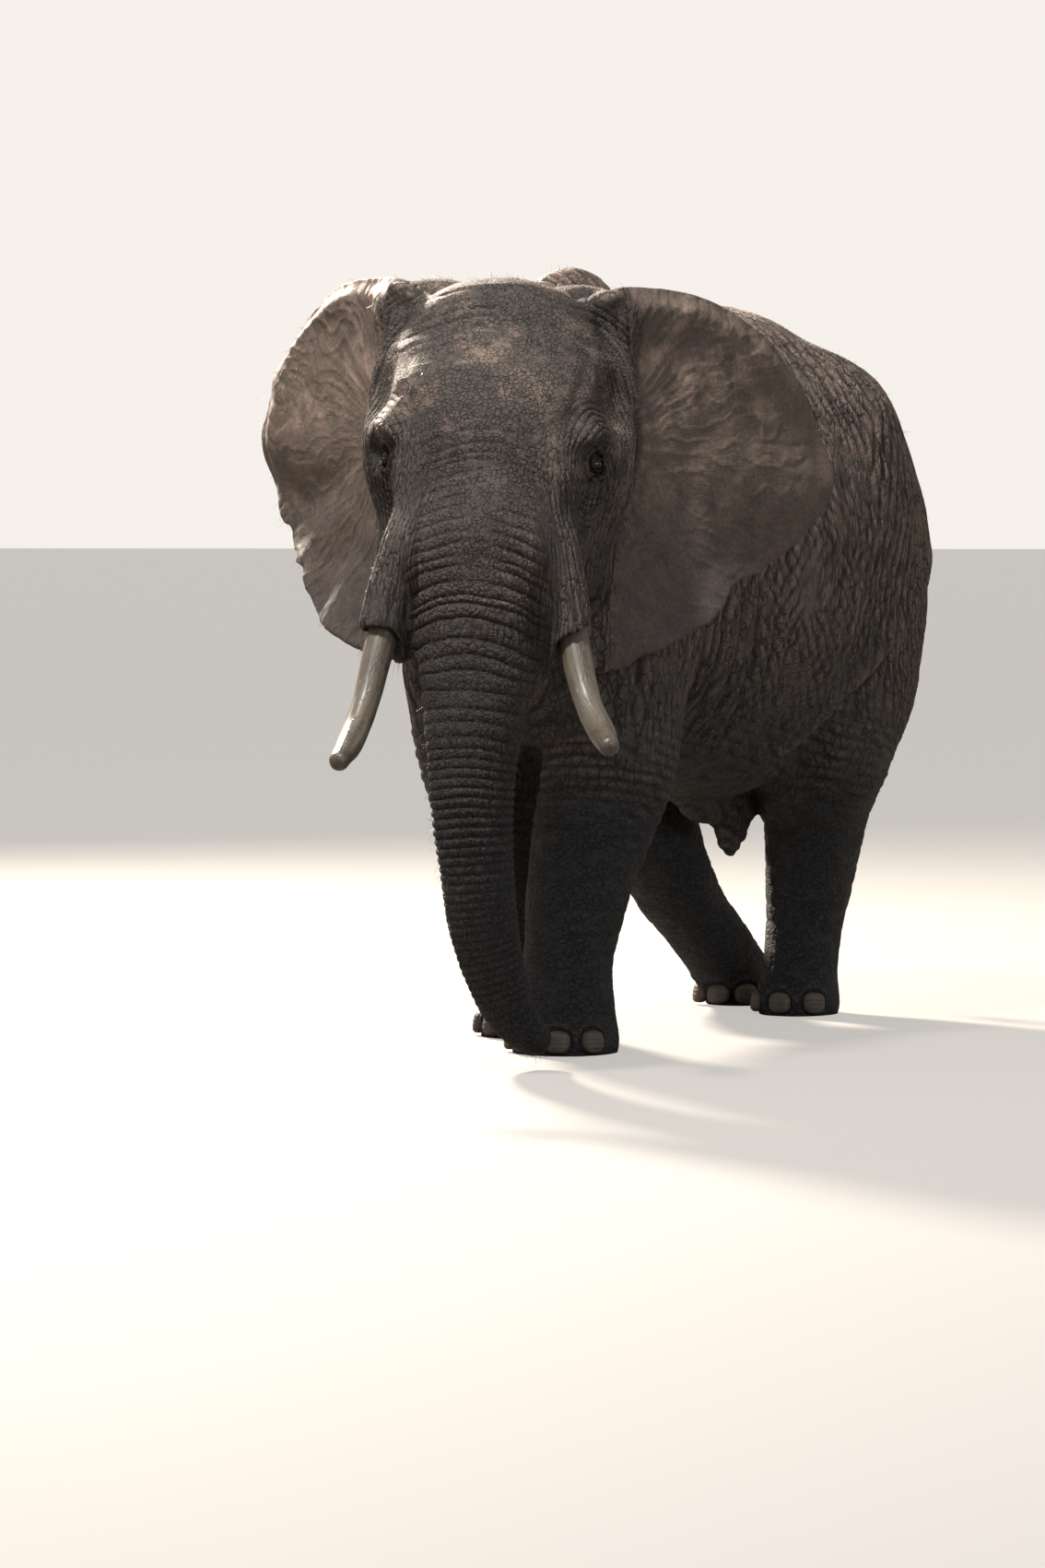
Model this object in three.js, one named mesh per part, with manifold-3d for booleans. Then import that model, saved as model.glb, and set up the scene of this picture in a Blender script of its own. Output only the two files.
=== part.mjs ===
// A walking bull African elephant, life size, as a still museum model.
// Millimetres, +Z up. The animal faces -Y, and +X is its own left side.
// The flesh is one smooth field of named masses (tubes with oval sections and ellipsoids). Each flesh node is
// that field meshed at its own fineness and parted from its neighbours by thin plane cuts.
import * as THREE from 'three';
import { mergeVertices } from 'three/addons/utils/BufferGeometryUtils.js';
import Module from 'manifold-3d';

const wasm = await Module();
wasm.setup();

// ---------------------------------------------------------------- driving dimensions
const SHOULDER_HEIGHT = 3250;
const GAP = 0.4; // left between touching solids
const FAR = 4000; // half size of a cutting block

const HEAD_TURN = THREE.MathUtils.degToRad(24); // the head looks to its left
const HEAD_ROLL = THREE.MathUtils.degToRad(2.5); // and leans to its left
const HEAD_AT = [132, -1391]; // the point between the ear roots, seen from above
const HEAD_LEVEL = 2400; // the height that the roll turns about

const EAR_ROOT = { side: 430, front: -60 };
const EYE = { side: 412, front: 352, up: 2464, radius: 33, depth: 0.6 };
const TUSK = { root: 62, middle: 54, tip: 41 };
const TUSK_SLEEVE = 1.5;

const EAR = {
  reach: 1262, // from the root to the farthest point of the rim
  sweep: { left: 45, right: 56 }, // degrees that each ear lies back from straight out
  droop: { left: 0, right: 4.5 }, // degrees that its lower part lies farther back
  curl: 16, // degrees that the sweep gains from root to rim
  rootThickness: 58,
  rimThickness: 16,
};

// mesh fineness of each part
const CELL = { torso: 196, leg: 130, neck: 144, head: 103, trunkRoot: 95, trunk: 92, trunkTip: 72 };

// ---------------------------------------------------------------- small helpers
const V = (x, y, z) => new THREE.Vector3(x, y, z);
const mix = THREE.MathUtils.lerp;

// A point of the head, given as (to its left, to its front, up), in the model's frame.
function headPoint(side, front, up) {
  const dz = up - HEAD_LEVEL;
  const s = side * Math.cos(HEAD_ROLL) + dz * Math.sin(HEAD_ROLL);
  const z = HEAD_LEVEL + dz * Math.cos(HEAD_ROLL) - side * Math.sin(HEAD_ROLL);
  const c = Math.cos(HEAD_TURN);
  const t = Math.sin(HEAD_TURN);
  return V(HEAD_AT[0] + s * c + front * t, HEAD_AT[1] + s * t - front * c, z);
}
const HEAD_LEFT = headPoint(1, 0, HEAD_LEVEL).sub(headPoint(0, 0, HEAD_LEVEL));
const HEAD_FRONT = headPoint(0, 1, HEAD_LEVEL).sub(headPoint(0, 0, HEAD_LEVEL));
const HEAD_UP = headPoint(0, 0, HEAD_LEVEL + 1).sub(headPoint(0, 0, HEAD_LEVEL));

// ---------------------------------------------------------------- the field's two kinds of mass
// A tube: stations of { at, side, front, back } along a spline. side is the half width across, front and back
// are the half depths either way of the line along `across` x tangent. power above 2 squares the section.
// cap is the length of the end domes, as a share of the section's smaller half size.
function tube(stations, { across = V(1, 0, 0), power = 2, steps = 36, blend = 90, cap = 1 } = {}) {
  const curve = new THREE.CatmullRomCurve3(stations.map((s) => s.at), false, 'centripetal');
  const count = stations.length - 1;
  const rings = [];
  for (let i = 0; i <= steps; i++) {
    const t = i / steps;
    const k = Math.min(Math.floor(t * count), count - 1);
    const w = t * count - k;
    const ease = w * w * (3 - 2 * w);
    const size = (key) => mix(stations[k][key], stations[k + 1][key], ease * 0.5 + w * 0.5);
    const tangent = curve.getTangent(t);
    const side = across.clone().addScaledVector(tangent, -across.dot(tangent)).normalize();
    rings.push({
      at: curve.getPoint(t),
      tangent,
      side,
      face: side.clone().cross(tangent).normalize(),
      sizes: [size('side'), size('front'), size('back')],
    });
  }
  const q = V();
  const field = (p) => {
    let best = Infinity;
    let seg = 0;
    let along = 0;
    for (let i = 0; i < steps; i++) {
      const a = rings[i].at;
      const b = rings[i + 1].at;
      const dx = b.x - a.x, dy = b.y - a.y, dz = b.z - a.z;
      const px = p.x - a.x, py = p.y - a.y, pz = p.z - a.z;
      const h = THREE.MathUtils.clamp((px * dx + py * dy + pz * dz) / (dx * dx + dy * dy + dz * dz), 0, 1);
      const d = (px - dx * h) ** 2 + (py - dy * h) ** 2 + (pz - dz * h) ** 2;
      if (d < best) {
        best = d;
        seg = i;
        along = h;
      }
    }
    const a = rings[seg];
    const b = rings[seg + 1];
    q.copy(p).sub(a.at).addScaledVector(b.at.clone().sub(a.at), -along);
    const blendDot = (key) => mix(q.dot(a[key]), q.dot(b[key]), along);
    const [side, front, back] = a.sizes.map((v, i) => mix(v, b.sizes[i], along));
    const across_ = blendDot('side');
    const facing = blendDot('face');
    const lengthways = blendDot('tangent');
    const depth = facing > 0 ? front : back;
    const turn = THREE.MathUtils.smoothstep(facing / (front + back), -0.25, 0.25);
    const end = Math.min(side, mix(back, front, turn)) * cap;
    const k = (Math.abs(across_ / side) ** power + Math.abs(facing / depth) ** power
      + Math.abs(lengthways / end) ** power) ** (1 / power);
    const reach = q.length();
    return reach < 1 ? -end : reach * (1 - 1 / k);
  };
  return { field, blend };
}

// An ellipsoid with radii along its own three axes.
function lump(at, radii, { axes = [V(1, 0, 0), V(0, 1, 0), V(0, 0, 1)], blend = 90 } = {}) {
  const q = V();
  const field = (p) => {
    q.copy(p).sub(at);
    const n = axes.map((a, i) => q.dot(a) / radii[i]);
    const k = Math.hypot(...n);
    const g = Math.hypot(...n.map((v, i) => v / radii[i]));
    return g === 0 ? -Math.min(...radii) : (k * (k - 1)) / g;
  };
  return { field, blend };
}
const headAxes = [HEAD_LEFT, HEAD_FRONT, HEAD_UP];
const headLump = (side, front, up, radii, blend) =>
  lump(headPoint(side, front, up), radii, { axes: headAxes, blend });
const bothSides = (make) => [1, -1].map(make);

// ---------------------------------------------------------------- the body's masses
// Torso stations run from chest to rump: [y, top line, belly line, level of greatest width, half width].
const TORSO = [
  [-1130, 2760, 1600, 2150, 330],
  [-900, 3030, 1390, 2090, 480],
  [-640, 3165, 1280, 2020, 585],
  [-250, 3120, 1180, 1980, 650],
  [200, 3055, 1070, 1950, 705],
  [620, 3050, 985, 1950, 740],
  [1000, 3085, 1085, 1980, 745],
  [1300, 2975, 1310, 2000, 700],
  [1545, 2760, 1560, 2060, 590],
];
const torso = tube(
  TORSO.map(([y, top, belly, level, width]) => ({
    at: V(0, y, level), side: width, front: top - level, back: level - belly,
  })),
  { power: 2.25, steps: 40, blend: 0, cap: 0.42 },
);
const trunkOfBody = [
  torso,
  // withers: the two shoulder blades' upper ends, and the ridge of the spine behind them
  lump(V(95, -690, 3025), [165, 370, 260], { blend: 110 }),
  lump(V(-195, -690, 2990), [190, 370, 260], { blend: 110 }),
  lump(V(0, 850, 2865), [380, 600, 280], { blend: 200 }),
  // hip bones and the round of the thighs
  ...bothSides((s) => lump(V(s * 445, 1100, 2390), [325, 480, 560], { blend: 180 })),
  ...bothSides((s) => lump(V(s * 418, 1378, 1955), [335, 440, 620], { blend: 180 })),
  // shoulder muscles over the upper forelegs
  ...bothSides((s) => lump(V(s * 430, -740, 2050), [205, 370, 620], { blend: 150 })),
  // brisket between the forelegs
  lump(V(0, -980, 1720), [330, 330, 430], { blend: 160 }),
  // sheath under the belly
  lump(V(0, 880, 985), [110, 360, 120], { blend: 90 }),
  lump(V(10, 985, 870), [66, 115, 95], { blend: 70 }),
  lump(V(6, 975, 800), [36, 62, 84], { blend: 60 }),
];

const neck = tube(
  [
    { at: V(0, -760, 2330), side: 520, front: 640, back: 620 },
    { at: V(60, -1040, 2380), side: 470, front: 600, back: 570 },
    { at: V(170, -1290, 2480), side: 430, front: 560, back: 520 },
  ],
  { blend: 170, power: 2.2, steps: 12 },
);

// ---------------------------------------------------------------- legs
// Leg stations: [x, y, z, half width, half depth to the front, half depth to the back].
const legTube = (rows, blend) =>
  tube(rows.map(([x, y, z, side, front, back]) => ({ at: V(x, y, z), side, front, back })),
    { across: V(-1, 0, 0), blend, steps: 30, power: 2.15 });

const FORE_LEFT = [
  [385, -735, 1980, 235, 330, 330],
  [378, -765, 1520, 250, 345, 335],
  [345, -815, 1180, 255, 315, 325],
  [312, -895, 940, 236, 268, 288],
  [286, -980, 660, 202, 225, 225],
  [270, -1030, 390, 176, 206, 196],
  [262, -1040, 190, 205, 222, 208],
  [262, -1040, 60, 222, 236, 218],
];
const FORE_RIGHT = [
  [-385, -700, 1980, 235, 330, 330],
  [-380, -705, 1540, 245, 335, 330],
  [-350, -660, 1200, 245, 305, 315],
  [-318, -590, 930, 222, 256, 270],
  [-290, -510, 660, 196, 220, 220],
  [-265, -440, 380, 176, 202, 194],
  [-255, -410, 190, 205, 218, 205],
  [-250, -400, 60, 222, 236, 218],
];
const HIND_LEFT = [
  [400, 1230, 1900, 290, 480, 430],
  [412, 1200, 1500, 330, 430, 500],
  [354, 1200, 1130, 276, 330, 380],
  [300, 1250, 860, 214, 252, 255],
  [262, 1270, 600, 186, 214, 214],
  [246, 1252, 400, 162, 182, 182],
  [244, 1222, 210, 160, 186, 170],
  [244, 1205, 60, 180, 214, 180],
];
const HIND_RIGHT = [
  [-400, 1230, 1900, 290, 480, 430],
  [-412, 1120, 1500, 295, 420, 440],
  [-400, 960, 1130, 240, 335, 325],
  [-385, 930, 880, 215, 262, 262],
  [-345, 1060, 620, 182, 205, 205],
  [-305, 1250, 410, 158, 168, 166],
  [-262, 1420, 240, 160, 172, 165],
  [-240, 1520, 110, 172, 158, 172],
];
const legs = {
  foreLeft: legTube(FORE_LEFT, 90),
  foreRight: legTube(FORE_RIGHT, 90),
  hindLeft: legTube(HIND_LEFT, 90),
  hindRight: legTube(HIND_RIGHT, 90),
};
const legDetails = [
  // elbows, kneecaps and heels
  lump(V(372, -590, 1290), [120, 150, 210], { blend: 110 }),
  lump(V(-372, -500, 1310), [120, 150, 210], { blend: 110 }),
  lump(V(330, 985, 1060), [120, 110, 170], { blend: 110 }),
  lump(V(-392, 730, 980), [125, 110, 160], { blend: 110 }),
];

// ---------------------------------------------------------------- head, jaw and trunk
// Head profile stations down the face's midline: { up, front, side, forward, backward }.
const skull = tube(
  [
    { at: headPoint(0, 15, 2900), side: 370, front: 285, back: 205 },
    { at: headPoint(0, 50, 2820), side: 425, front: 335, back: 290 },
    { at: headPoint(0, 130, 2640), side: 455, front: 425, back: 360 },
    { at: headPoint(0, 250, 2400), side: 430, front: 415, back: 380 },
    { at: headPoint(0, 380, 2150), side: 350, front: 355, back: 330 },
    { at: headPoint(0, 480, 1930), side: 290, front: 300, back: 280 },
  ],
  { across: HEAD_LEFT.clone().negate(), power: 2.5, steps: 24, blend: 120 },
);
const headMasses = [
  skull,
  // crown, nape folds, temples, brow ridges, cheekbones, ear roots and the jaw muscles behind them
  headLump(0, -40, 2860, [425, 315, 325], 110),
  ...bothSides((s) => headLump(s * 290, -190, 3062, [250, 130, 150], 80)),
  ...bothSides((s) => headLump(s * 330, 30, 2680, [165, 260, 300], 90)),
  ...bothSides((s) => headLump(s * 385, 352, 2585, [80, 125, 62], 70)),
  ...bothSides((s) => headLump(s * 392, 120, 2500, [155, 225, 275], 90)),
  ...bothSides((s) => headLump(s * 420, -70, 2650, [125, 150, 340], 90)),
  ...bothSides((s) => headLump(s * 335, 60, 2120, [135, 220, 270], 110)),
  // tusk sheaths beside the root of the trunk, and the skin between them and it
  ...bothSides((s) => tube(
    [
      { at: headPoint(s * 240, 470, 2330), side: 110, front: 120, back: 120 },
      { at: headPoint(s * 290, 560, 2080), side: 120, front: 120, back: 130 },
      { at: headPoint(s * 345, 605, 1930), side: 103, front: 98, back: 105 },
      { at: headPoint(s * 374, 632, 1790), side: 88, front: 82, back: 88 },
    ],
    { across: HEAD_LEFT.clone().negate(), steps: 12, blend: 90 },
  )),
  ...bothSides((s) => headLump(s * 300, 590, 1750, [60, 85, 115], 60)),
];
const jawMasses = [
  headLump(0, 230, 1900, [250, 330, 190], 110),
  headLump(0, 455, 1745, [150, 190, 112], 90),
];

// Trunk stations: [side, front, up, half width, half depth].
const TRUNK = [
  [4, 590, 2080, 300, 270],
  [12, 655, 1850, 262, 232],
  [18, 720, 1640, 234, 208],
  [20, 765, 1420, 202, 186],
  [22, 790, 1200, 175, 165],
  [36, 795, 1000, 160, 150],
  [60, 780, 820, 147, 140],
  [84, 750, 640, 142, 132],
  [120, 705, 475, 129, 120],
  [166, 650, 330, 114, 107],
  [222, 590, 215, 97, 92],
  [292, 528, 138, 76, 74],
];
const trunk = tube(
  TRUNK.map(([side, front, up, width, depth]) => ({
    at: headPoint(side, front, up), side: width, front: depth, back: depth,
  })),
  { across: HEAD_LEFT.clone().negate(), steps: 60, blend: 110, power: 2.1 },
);

// ---------------------------------------------------------------- the flesh field
const bodyMasses = [...trunkOfBody, neck, ...Object.values(legs), ...legDetails];
const faceMasses = [...headMasses, ...jawMasses, trunk];

function smoothUnion(masses, p, start = Infinity) {
  let d = start;
  for (const { field, blend } of masses) {
    const e = field(p);
    if (d === Infinity || blend === 0) d = Math.min(d, e);
    else {
      const h = Math.max(blend - Math.abs(d - e), 0) / blend;
      d = Math.min(d, e) - h * h * blend * 0.25;
    }
  }
  return d;
}

// Temples and eye sockets are hollows taken out of the head.
const hollows = [
  ...bothSides((s) => ({ ...headLump(s * 540, 215, 2760, [110, 150, 150], 0), soft: 90 })),
  ...bothSides((s) => ({ ...headLump(s * 492, 376, 2465, [62, 92, 62], 0), soft: 50 })),
];

const NECK_CUT = -1240; // past this the face's masses join in
function flesh(p) {
  let d = smoothUnion(bodyMasses, p);
  if (p.y < NECK_CUT + 900) {
    let f = smoothUnion(faceMasses, p);
    for (const { field, soft } of hollows) {
      const e = -field(p);
      const h = Math.max(soft - Math.abs(f - e), 0) / soft;
      f = Math.max(f, e) + h * h * soft * 0.25;
    }
    const blend = 150;
    const h = Math.max(blend - Math.abs(d - f), 0) / blend;
    d = Math.min(d, f) - h * h * blend * 0.25;
  }
  return d;
}

// ---------------------------------------------------------------- meshing the field
const gradientStep = 4;
function gradient(field, p) {
  const g = ['x', 'y', 'z'].map((axis) => {
    const a = p.clone();
    const b = p.clone();
    a[axis] += gradientStep;
    b[axis] -= gradientStep;
    return (field(a) - field(b)) / (2 * gradientStep);
  });
  return V(...g);
}

// The cell corners and edges that surface nets walk over.
const CORNERS = [];
for (let c = 0; c < 8; c++) CORNERS.push([c & 1, (c >> 1) & 1, (c >> 2) & 1]);
const EDGES = [];
for (let a = 0; a < 8; a++) for (const bit of [1, 2, 4]) if (!(a & bit)) EDGES.push([a, a | bit]);

// Whether a cell's corners of one sign all hang together along its edges.
function inOnePiece(v, sign) {
  const mine = v.map((x) => (x < 0) === sign);
  const first = mine.indexOf(true);
  if (first < 0) return true;
  const seen = new Set([first]);
  for (let round = 0; round < 7; round++) {
    for (const [a, b] of EDGES) {
      if (mine[a] && mine[b] && (seen.has(a) || seen.has(b))) seen.add(a).add(b);
    }
  }
  return seen.size === mine.filter(Boolean).length;
}

// Field samples over a box, closed at its border, with no cell left that the surface would pass twice.
function sampleField(field, low, n, cell, index) {
  const value = new Float64Array(n[0] * n[1] * n[2]);
  const p = V();
  const isBorder = (i, j, k) => Math.min(i, j, k, n[0] - 1 - i, n[1] - 1 - j, n[2] - 1 - k) === 0;
  for (let k = 0; k < n[2]; k++) {
    for (let j = 0; j < n[1]; j++) {
      for (let i = 0; i < n[0]; i++) {
        p.set(low.x + i * cell, low.y + j * cell, low.z + k * cell);
        const v = field(p) || 1e-6;
        value[index(i, j, k)] = isBorder(i, j, k) ? Math.max(v, cell * 0.1) : v;
      }
    }
  }
  for (let round = 0, changed = true; round < 12 && changed; round++) {
    changed = false;
    for (let k = 0; k < n[2] - 1; k++) {
      for (let j = 0; j < n[1] - 1; j++) {
        for (let i = 0; i < n[0] - 1; i++) {
          const ids = CORNERS.map(([x, y, z]) => index(i + x, j + y, k + z));
          const v = ids.map((id) => value[id]);
          if (inOnePiece(v, true) && inOnePiece(v, false)) continue;
          const open = ids.filter((id, c) => {
            const [x, y, z] = CORNERS[c];
            return !isBorder(i + x, j + y, k + z);
          });
          const weakest = open.sort((a, b) => Math.abs(value[a]) - Math.abs(value[b]))[round % 2 ? 1 : 0];
          value[weakest] = value[weakest] < 0 ? cell * 0.02 : -cell * 0.02;
          changed = true;
        }
      }
    }
  }
  return value;
}

// Surface nets over a box, with each vertex settled onto the field's own surface.
// `out` moves the surface outward.
function netGeometry(field, low, high, cell, out = 0) {
  const n = [0, 1, 2].map((i) => Math.ceil((high.getComponent(i) - low.getComponent(i)) / cell) + 1);
  const index = (i, j, k) => (k * n[1] + j) * n[0] + i;
  const value = sampleField(field, low, n, cell, index);
  const vertexOf = new Int32Array(value.length).fill(-1);
  const positions = [];
  for (let k = 0; k < n[2] - 1; k++) {
    for (let j = 0; j < n[1] - 1; j++) {
      for (let i = 0; i < n[0] - 1; i++) {
        const v = CORNERS.map(([x, y, z]) => value[index(i + x, j + y, k + z)]);
        const crossings = EDGES.filter(([a, b]) => (v[a] < 0) !== (v[b] < 0));
        if (!crossings.length) continue;
        const at = V();
        for (const [a, b] of crossings) {
          const t = v[a] / (v[a] - v[b]);
          at.add(V(...CORNERS[a].map((c, m) => mix(c, CORNERS[b][m], t))));
        }
        at.divideScalar(crossings.length);
        at.set(low.x + (i + at.x) * cell, low.y + (j + at.y) * cell, low.z + (k + at.z) * cell);
        vertexOf[index(i, j, k)] = positions.length / 3;
        positions.push(...settle(field, at, cell, low, high, out).toArray());
      }
    }
  }
  const faces = [];
  const quad = (a, b, c, d, flip) => faces.push(...(flip ? [a, c, b, a, d, c] : [a, b, c, a, c, d]));
  for (let k = 0; k < n[2] - 1; k++) {
    for (let j = 0; j < n[1] - 1; j++) {
      for (let i = 0; i < n[0] - 1; i++) {
        const inside = value[index(i, j, k)] < 0;
        const at = (x, y, z) => vertexOf[index(i - x, j - y, k - z)];
        if (j && k && inside !== value[index(i + 1, j, k)] < 0)
          quad(at(0, 1, 1), at(0, 0, 1), at(0, 0, 0), at(0, 1, 0), !inside);
        if (i && k && inside !== value[index(i, j + 1, k)] < 0)
          quad(at(1, 0, 1), at(1, 0, 0), at(0, 0, 0), at(0, 0, 1), !inside);
        if (i && j && inside !== value[index(i, j, k + 1)] < 0)
          quad(at(1, 1, 0), at(0, 1, 0), at(0, 0, 0), at(1, 0, 0), !inside);
      }
    }
  }
  return new THREE.BufferGeometry()
    .setAttribute('position', new THREE.Float32BufferAttribute(positions, 3))
    .setIndex(faces);
}

function settle(field, at, cell, low, high, out) {
  const start = at.clone();
  const nearEdge = [0, 1, 2].some((m) => at.getComponent(m) - low.getComponent(m) < cell
    || high.getComponent(m) - at.getComponent(m) < cell);
  const g = gradient(field, at);
  if (!nearEdge) {
    for (let round = 0; round < 3; round++) {
      const slope = gradient(field, at);
      at.addScaledVector(slope, -field(at) / Math.max(slope.lengthSq(), 0.2));
    }
    if (at.distanceTo(start) > cell * 0.45) at.copy(start);
  }
  return at.addScaledVector(g.normalize(), out);
}

// ---------------------------------------------------------------- solids: joins and cuts
function solid(geometry) {
  const bare = geometry.clone();
  for (const name of Object.keys(bare.attributes)) if (name !== 'position') bare.deleteAttribute(name);
  const merged = mergeVertices(bare, 1e-4);
  const faces = [];
  const id = merged.index.array;
  for (let i = 0; i < id.length; i += 3) {
    const [a, b, c] = [id[i], id[i + 1], id[i + 2]];
    if (a !== b && b !== c && a !== c) faces.push(a, b, c);
  }
  return new wasm.Manifold(new wasm.Mesh({
    numProp: 3, vertProperties: merged.attributes.position.array, triVerts: new Uint32Array(faces),
  }));
}

function geometryOf(manifold) {
  const m = manifold.getMesh();
  return new THREE.BufferGeometry()
    .setAttribute('position', new THREE.BufferAttribute(new Float32Array(m.vertProperties), 3))
    .setIndex(new THREE.BufferAttribute(new Uint32Array(m.triVerts), 1));
}

// A big block on the side of a plane that `normal` points to, starting `setBack` past the plane.
function halfSpace(point, normal, setBack = GAP / 2) {
  const way = normal.clone().normalize();
  const block = new THREE.BoxGeometry(2 * FAR, 2 * FAR, 2 * FAR)
    .applyQuaternion(new THREE.Quaternion().setFromUnitVectors(V(0, 0, 1), way));
  const centre = point.clone().addScaledVector(way, FAR + setBack);
  return solid(block.translate(centre.x, centre.y, centre.z));
}

// The largest piece of a cut solid, without the crumbs that a cut can leave.
function mainPiece(manifold) {
  return manifold.decompose().sort((a, b) => b.volume() - a.volume())[0];
}

// ---------------------------------------------------------------- the planes that part the body
const plane = (point, normal) => ({ point, normal: normal.clone().normalize() });
const LEG_TILT = THREE.MathUtils.degToRad(38);
const cuts = {
  neckRear: plane(V(0, -1060, 2300), V(0.18, -1, 0.3)), // points to the head
  headRear: plane(headPoint(0, -150, 2500), HEAD_FRONT.clone().addScaledVector(HEAD_UP, 0.12)),
  jaw: plane(headPoint(0, 520, 1790), HEAD_UP.clone().negate().addScaledVector(HEAD_FRONT, -0.5)),
  trunkRoot: plane(headPoint(0, 700, 1745), HEAD_UP.clone().negate().addScaledVector(HEAD_FRONT, 0.1)),
  trunkMiddle: plane(headPoint(-4, 765, 1400), V(0, 0, -1)),
  trunkLower: plane(headPoint(8, 780, 850), V(0, 0, -1)),
  trunkTip: plane(headPoint(112, 672, 380), headPoint(212, 590, 215).sub(headPoint(72, 705, 475))),
  leg: (s, y, z) => plane(V(s * 120, y, z), V(s * Math.sin(LEG_TILT), 0, -Math.cos(LEG_TILT))),
  foot: (height) => plane(V(0, 0, height), V(0, 0, -1)),
  floor: plane(V(0, 0, -GAP / 2), V(0, 0, 1)), // soles come out flat at level 0
};
const keep = (s, cut) => s.intersect(halfSpace(cut.point, cut.normal));
const drop = (s, cut) => s.intersect(halfSpace(cut.point, cut.normal.clone().negate()));

// ---------------------------------------------------------------- flesh nodes
const LEGS = [
  {
    name: 'foreleg_left', mass: 'foreLeft', foot: 'forefoot_left',
    s: 1, y: -700, z: 1330, ankle: 300, x: [20, 720], along: [-1500, -250],
  },
  {
    name: 'foreleg_right', mass: 'foreRight', foot: 'forefoot_right',
    s: -1, y: -700, z: 1330, ankle: 300, x: [-720, -20], along: [-1200, 200],
  },
  {
    name: 'hind_leg_left', mass: 'hindLeft', foot: 'hind_foot_left',
    s: 1, y: 1200, z: 1230, ankle: 290, x: [20, 760], along: [640, 1800],
  },
  {
    name: 'hind_leg_right', mass: 'hindRight', foot: 'hind_foot_right',
    s: -1, y: 1200, z: 1230, ankle: 330, x: [-760, -20], along: [500, 1900],
  },
];
const legField = (leg) => {
  const masses = [...trunkOfBody, legs[leg.mass], ...legDetails];
  return (p) => smoothUnion(masses, p);
};


// The block that a leg is cut out of: beyond the leg's plane, to one side, between two levels of y.
function legBlock(leg, grow) {
  const cut = cuts.leg(leg.s, leg.y, leg.z);
  const [rear, front] = [leg.along[0] - grow, leg.along[1] + grow];
  const side = new THREE.BoxGeometry(1200 + 2 * grow, front - rear, 2600 + 2 * grow)
    .translate(leg.s * 620, (rear + front) / 2, 900);
  return halfSpace(cut.point, cut.normal, -grow).intersect(solid(side));
}

function makeFlesh() {
  const parts = {};
  // torso: everything behind the neck cut, less the legs
  const hide = (out) => solid(netGeometry(flesh, V(-1000, -1420, 600), V(1000, 2160, 3420), CELL.torso, out));
  parts.torso_swollen = hide(GAP);
  let barrel = drop(hide(0), cuts.neckRear);
  for (const leg of LEGS) barrel = barrel.subtract(legBlock(leg, GAP / 2));
  parts.torso = mainPiece(barrel);

  for (const leg of LEGS) {
    const outer = leg.s > 0 ? 1 : 0;
    const [low, high] = [0, 1].map((i) => V(leg.x[i] + 40 * leg.s * (i === outer), leg.along[i], 0));
    const field = legField(leg);
    const block = legBlock(leg, -GAP / 2);
    const ankle = cuts.foot(leg.ankle);
    const [bottom, top] = [low.clone().setZ(-250), high.clone().setZ(2200)];
    const limb = (out) => solid(netGeometry(field, bottom, top, CELL.leg, out));
    const whole = drop(limb(0).intersect(block), cuts.neckRear);
    parts[leg.name] = mainPiece(drop(whole, ankle));
    parts[leg.foot] = mainPiece(keep(keep(whole, ankle), cuts.floor));
    parts[`${leg.foot}_swollen`] = keep(limb(GAP), ankle);
  }

  for (const [key, out] of [['neck', 0], ['neck_swollen', GAP]]) {
    const mesh = solid(netGeometry(flesh, V(-760, -1720, 1100), V(900, -700, 3420), CELL.neck, out));
    parts[key] = mainPiece(out ? mesh : drop(keep(mesh, cuts.neckRear), cuts.headRear));
  }

  for (const [suffix, out] of [['', 0], ['_swollen', GAP]]) {
    const mesh = solid(netGeometry(flesh, V(-500, -2500, 1300), V(1150, -900, 3420), CELL.head, out));
    const face = drop(keep(mesh, cuts.headRear), cuts.trunkRoot);
    parts[`head${suffix}`] = mainPiece(out ? mesh : drop(face, cuts.jaw));
    if (!out) parts.lower_jaw = mainPiece(keep(face, cuts.jaw));
  }

  const trunkField = (p) => smoothUnion([...headMasses, trunk], p);
  const trunkUpper = solid(
    netGeometry(trunkField, V(-250, -2600, 1200), V(1100, -1500, 2260), CELL.trunkRoot),
  );
  parts.trunk_root = mainPiece(drop(keep(trunkUpper, cuts.trunkRoot), cuts.trunkMiddle));
  const trunkMid = solid(netGeometry(trunk.field, V(200, -2500, 700), V(900, -1750, 1560), CELL.trunk));
  parts.trunk_middle = mainPiece(drop(keep(trunkMid, cuts.trunkMiddle), cuts.trunkLower));
  const trunkLow = solid(netGeometry(trunk.field, V(200, -2500, 0), V(1050, -1500, 980), CELL.trunkTip));
  const lower = keep(trunkLow, cuts.trunkLower);
  parts.trunk_lower = mainPiece(drop(lower, cuts.trunkTip));
  parts.trunk_tip = mainPiece(keep(lower, cuts.trunkTip));
  return parts;
}

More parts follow.
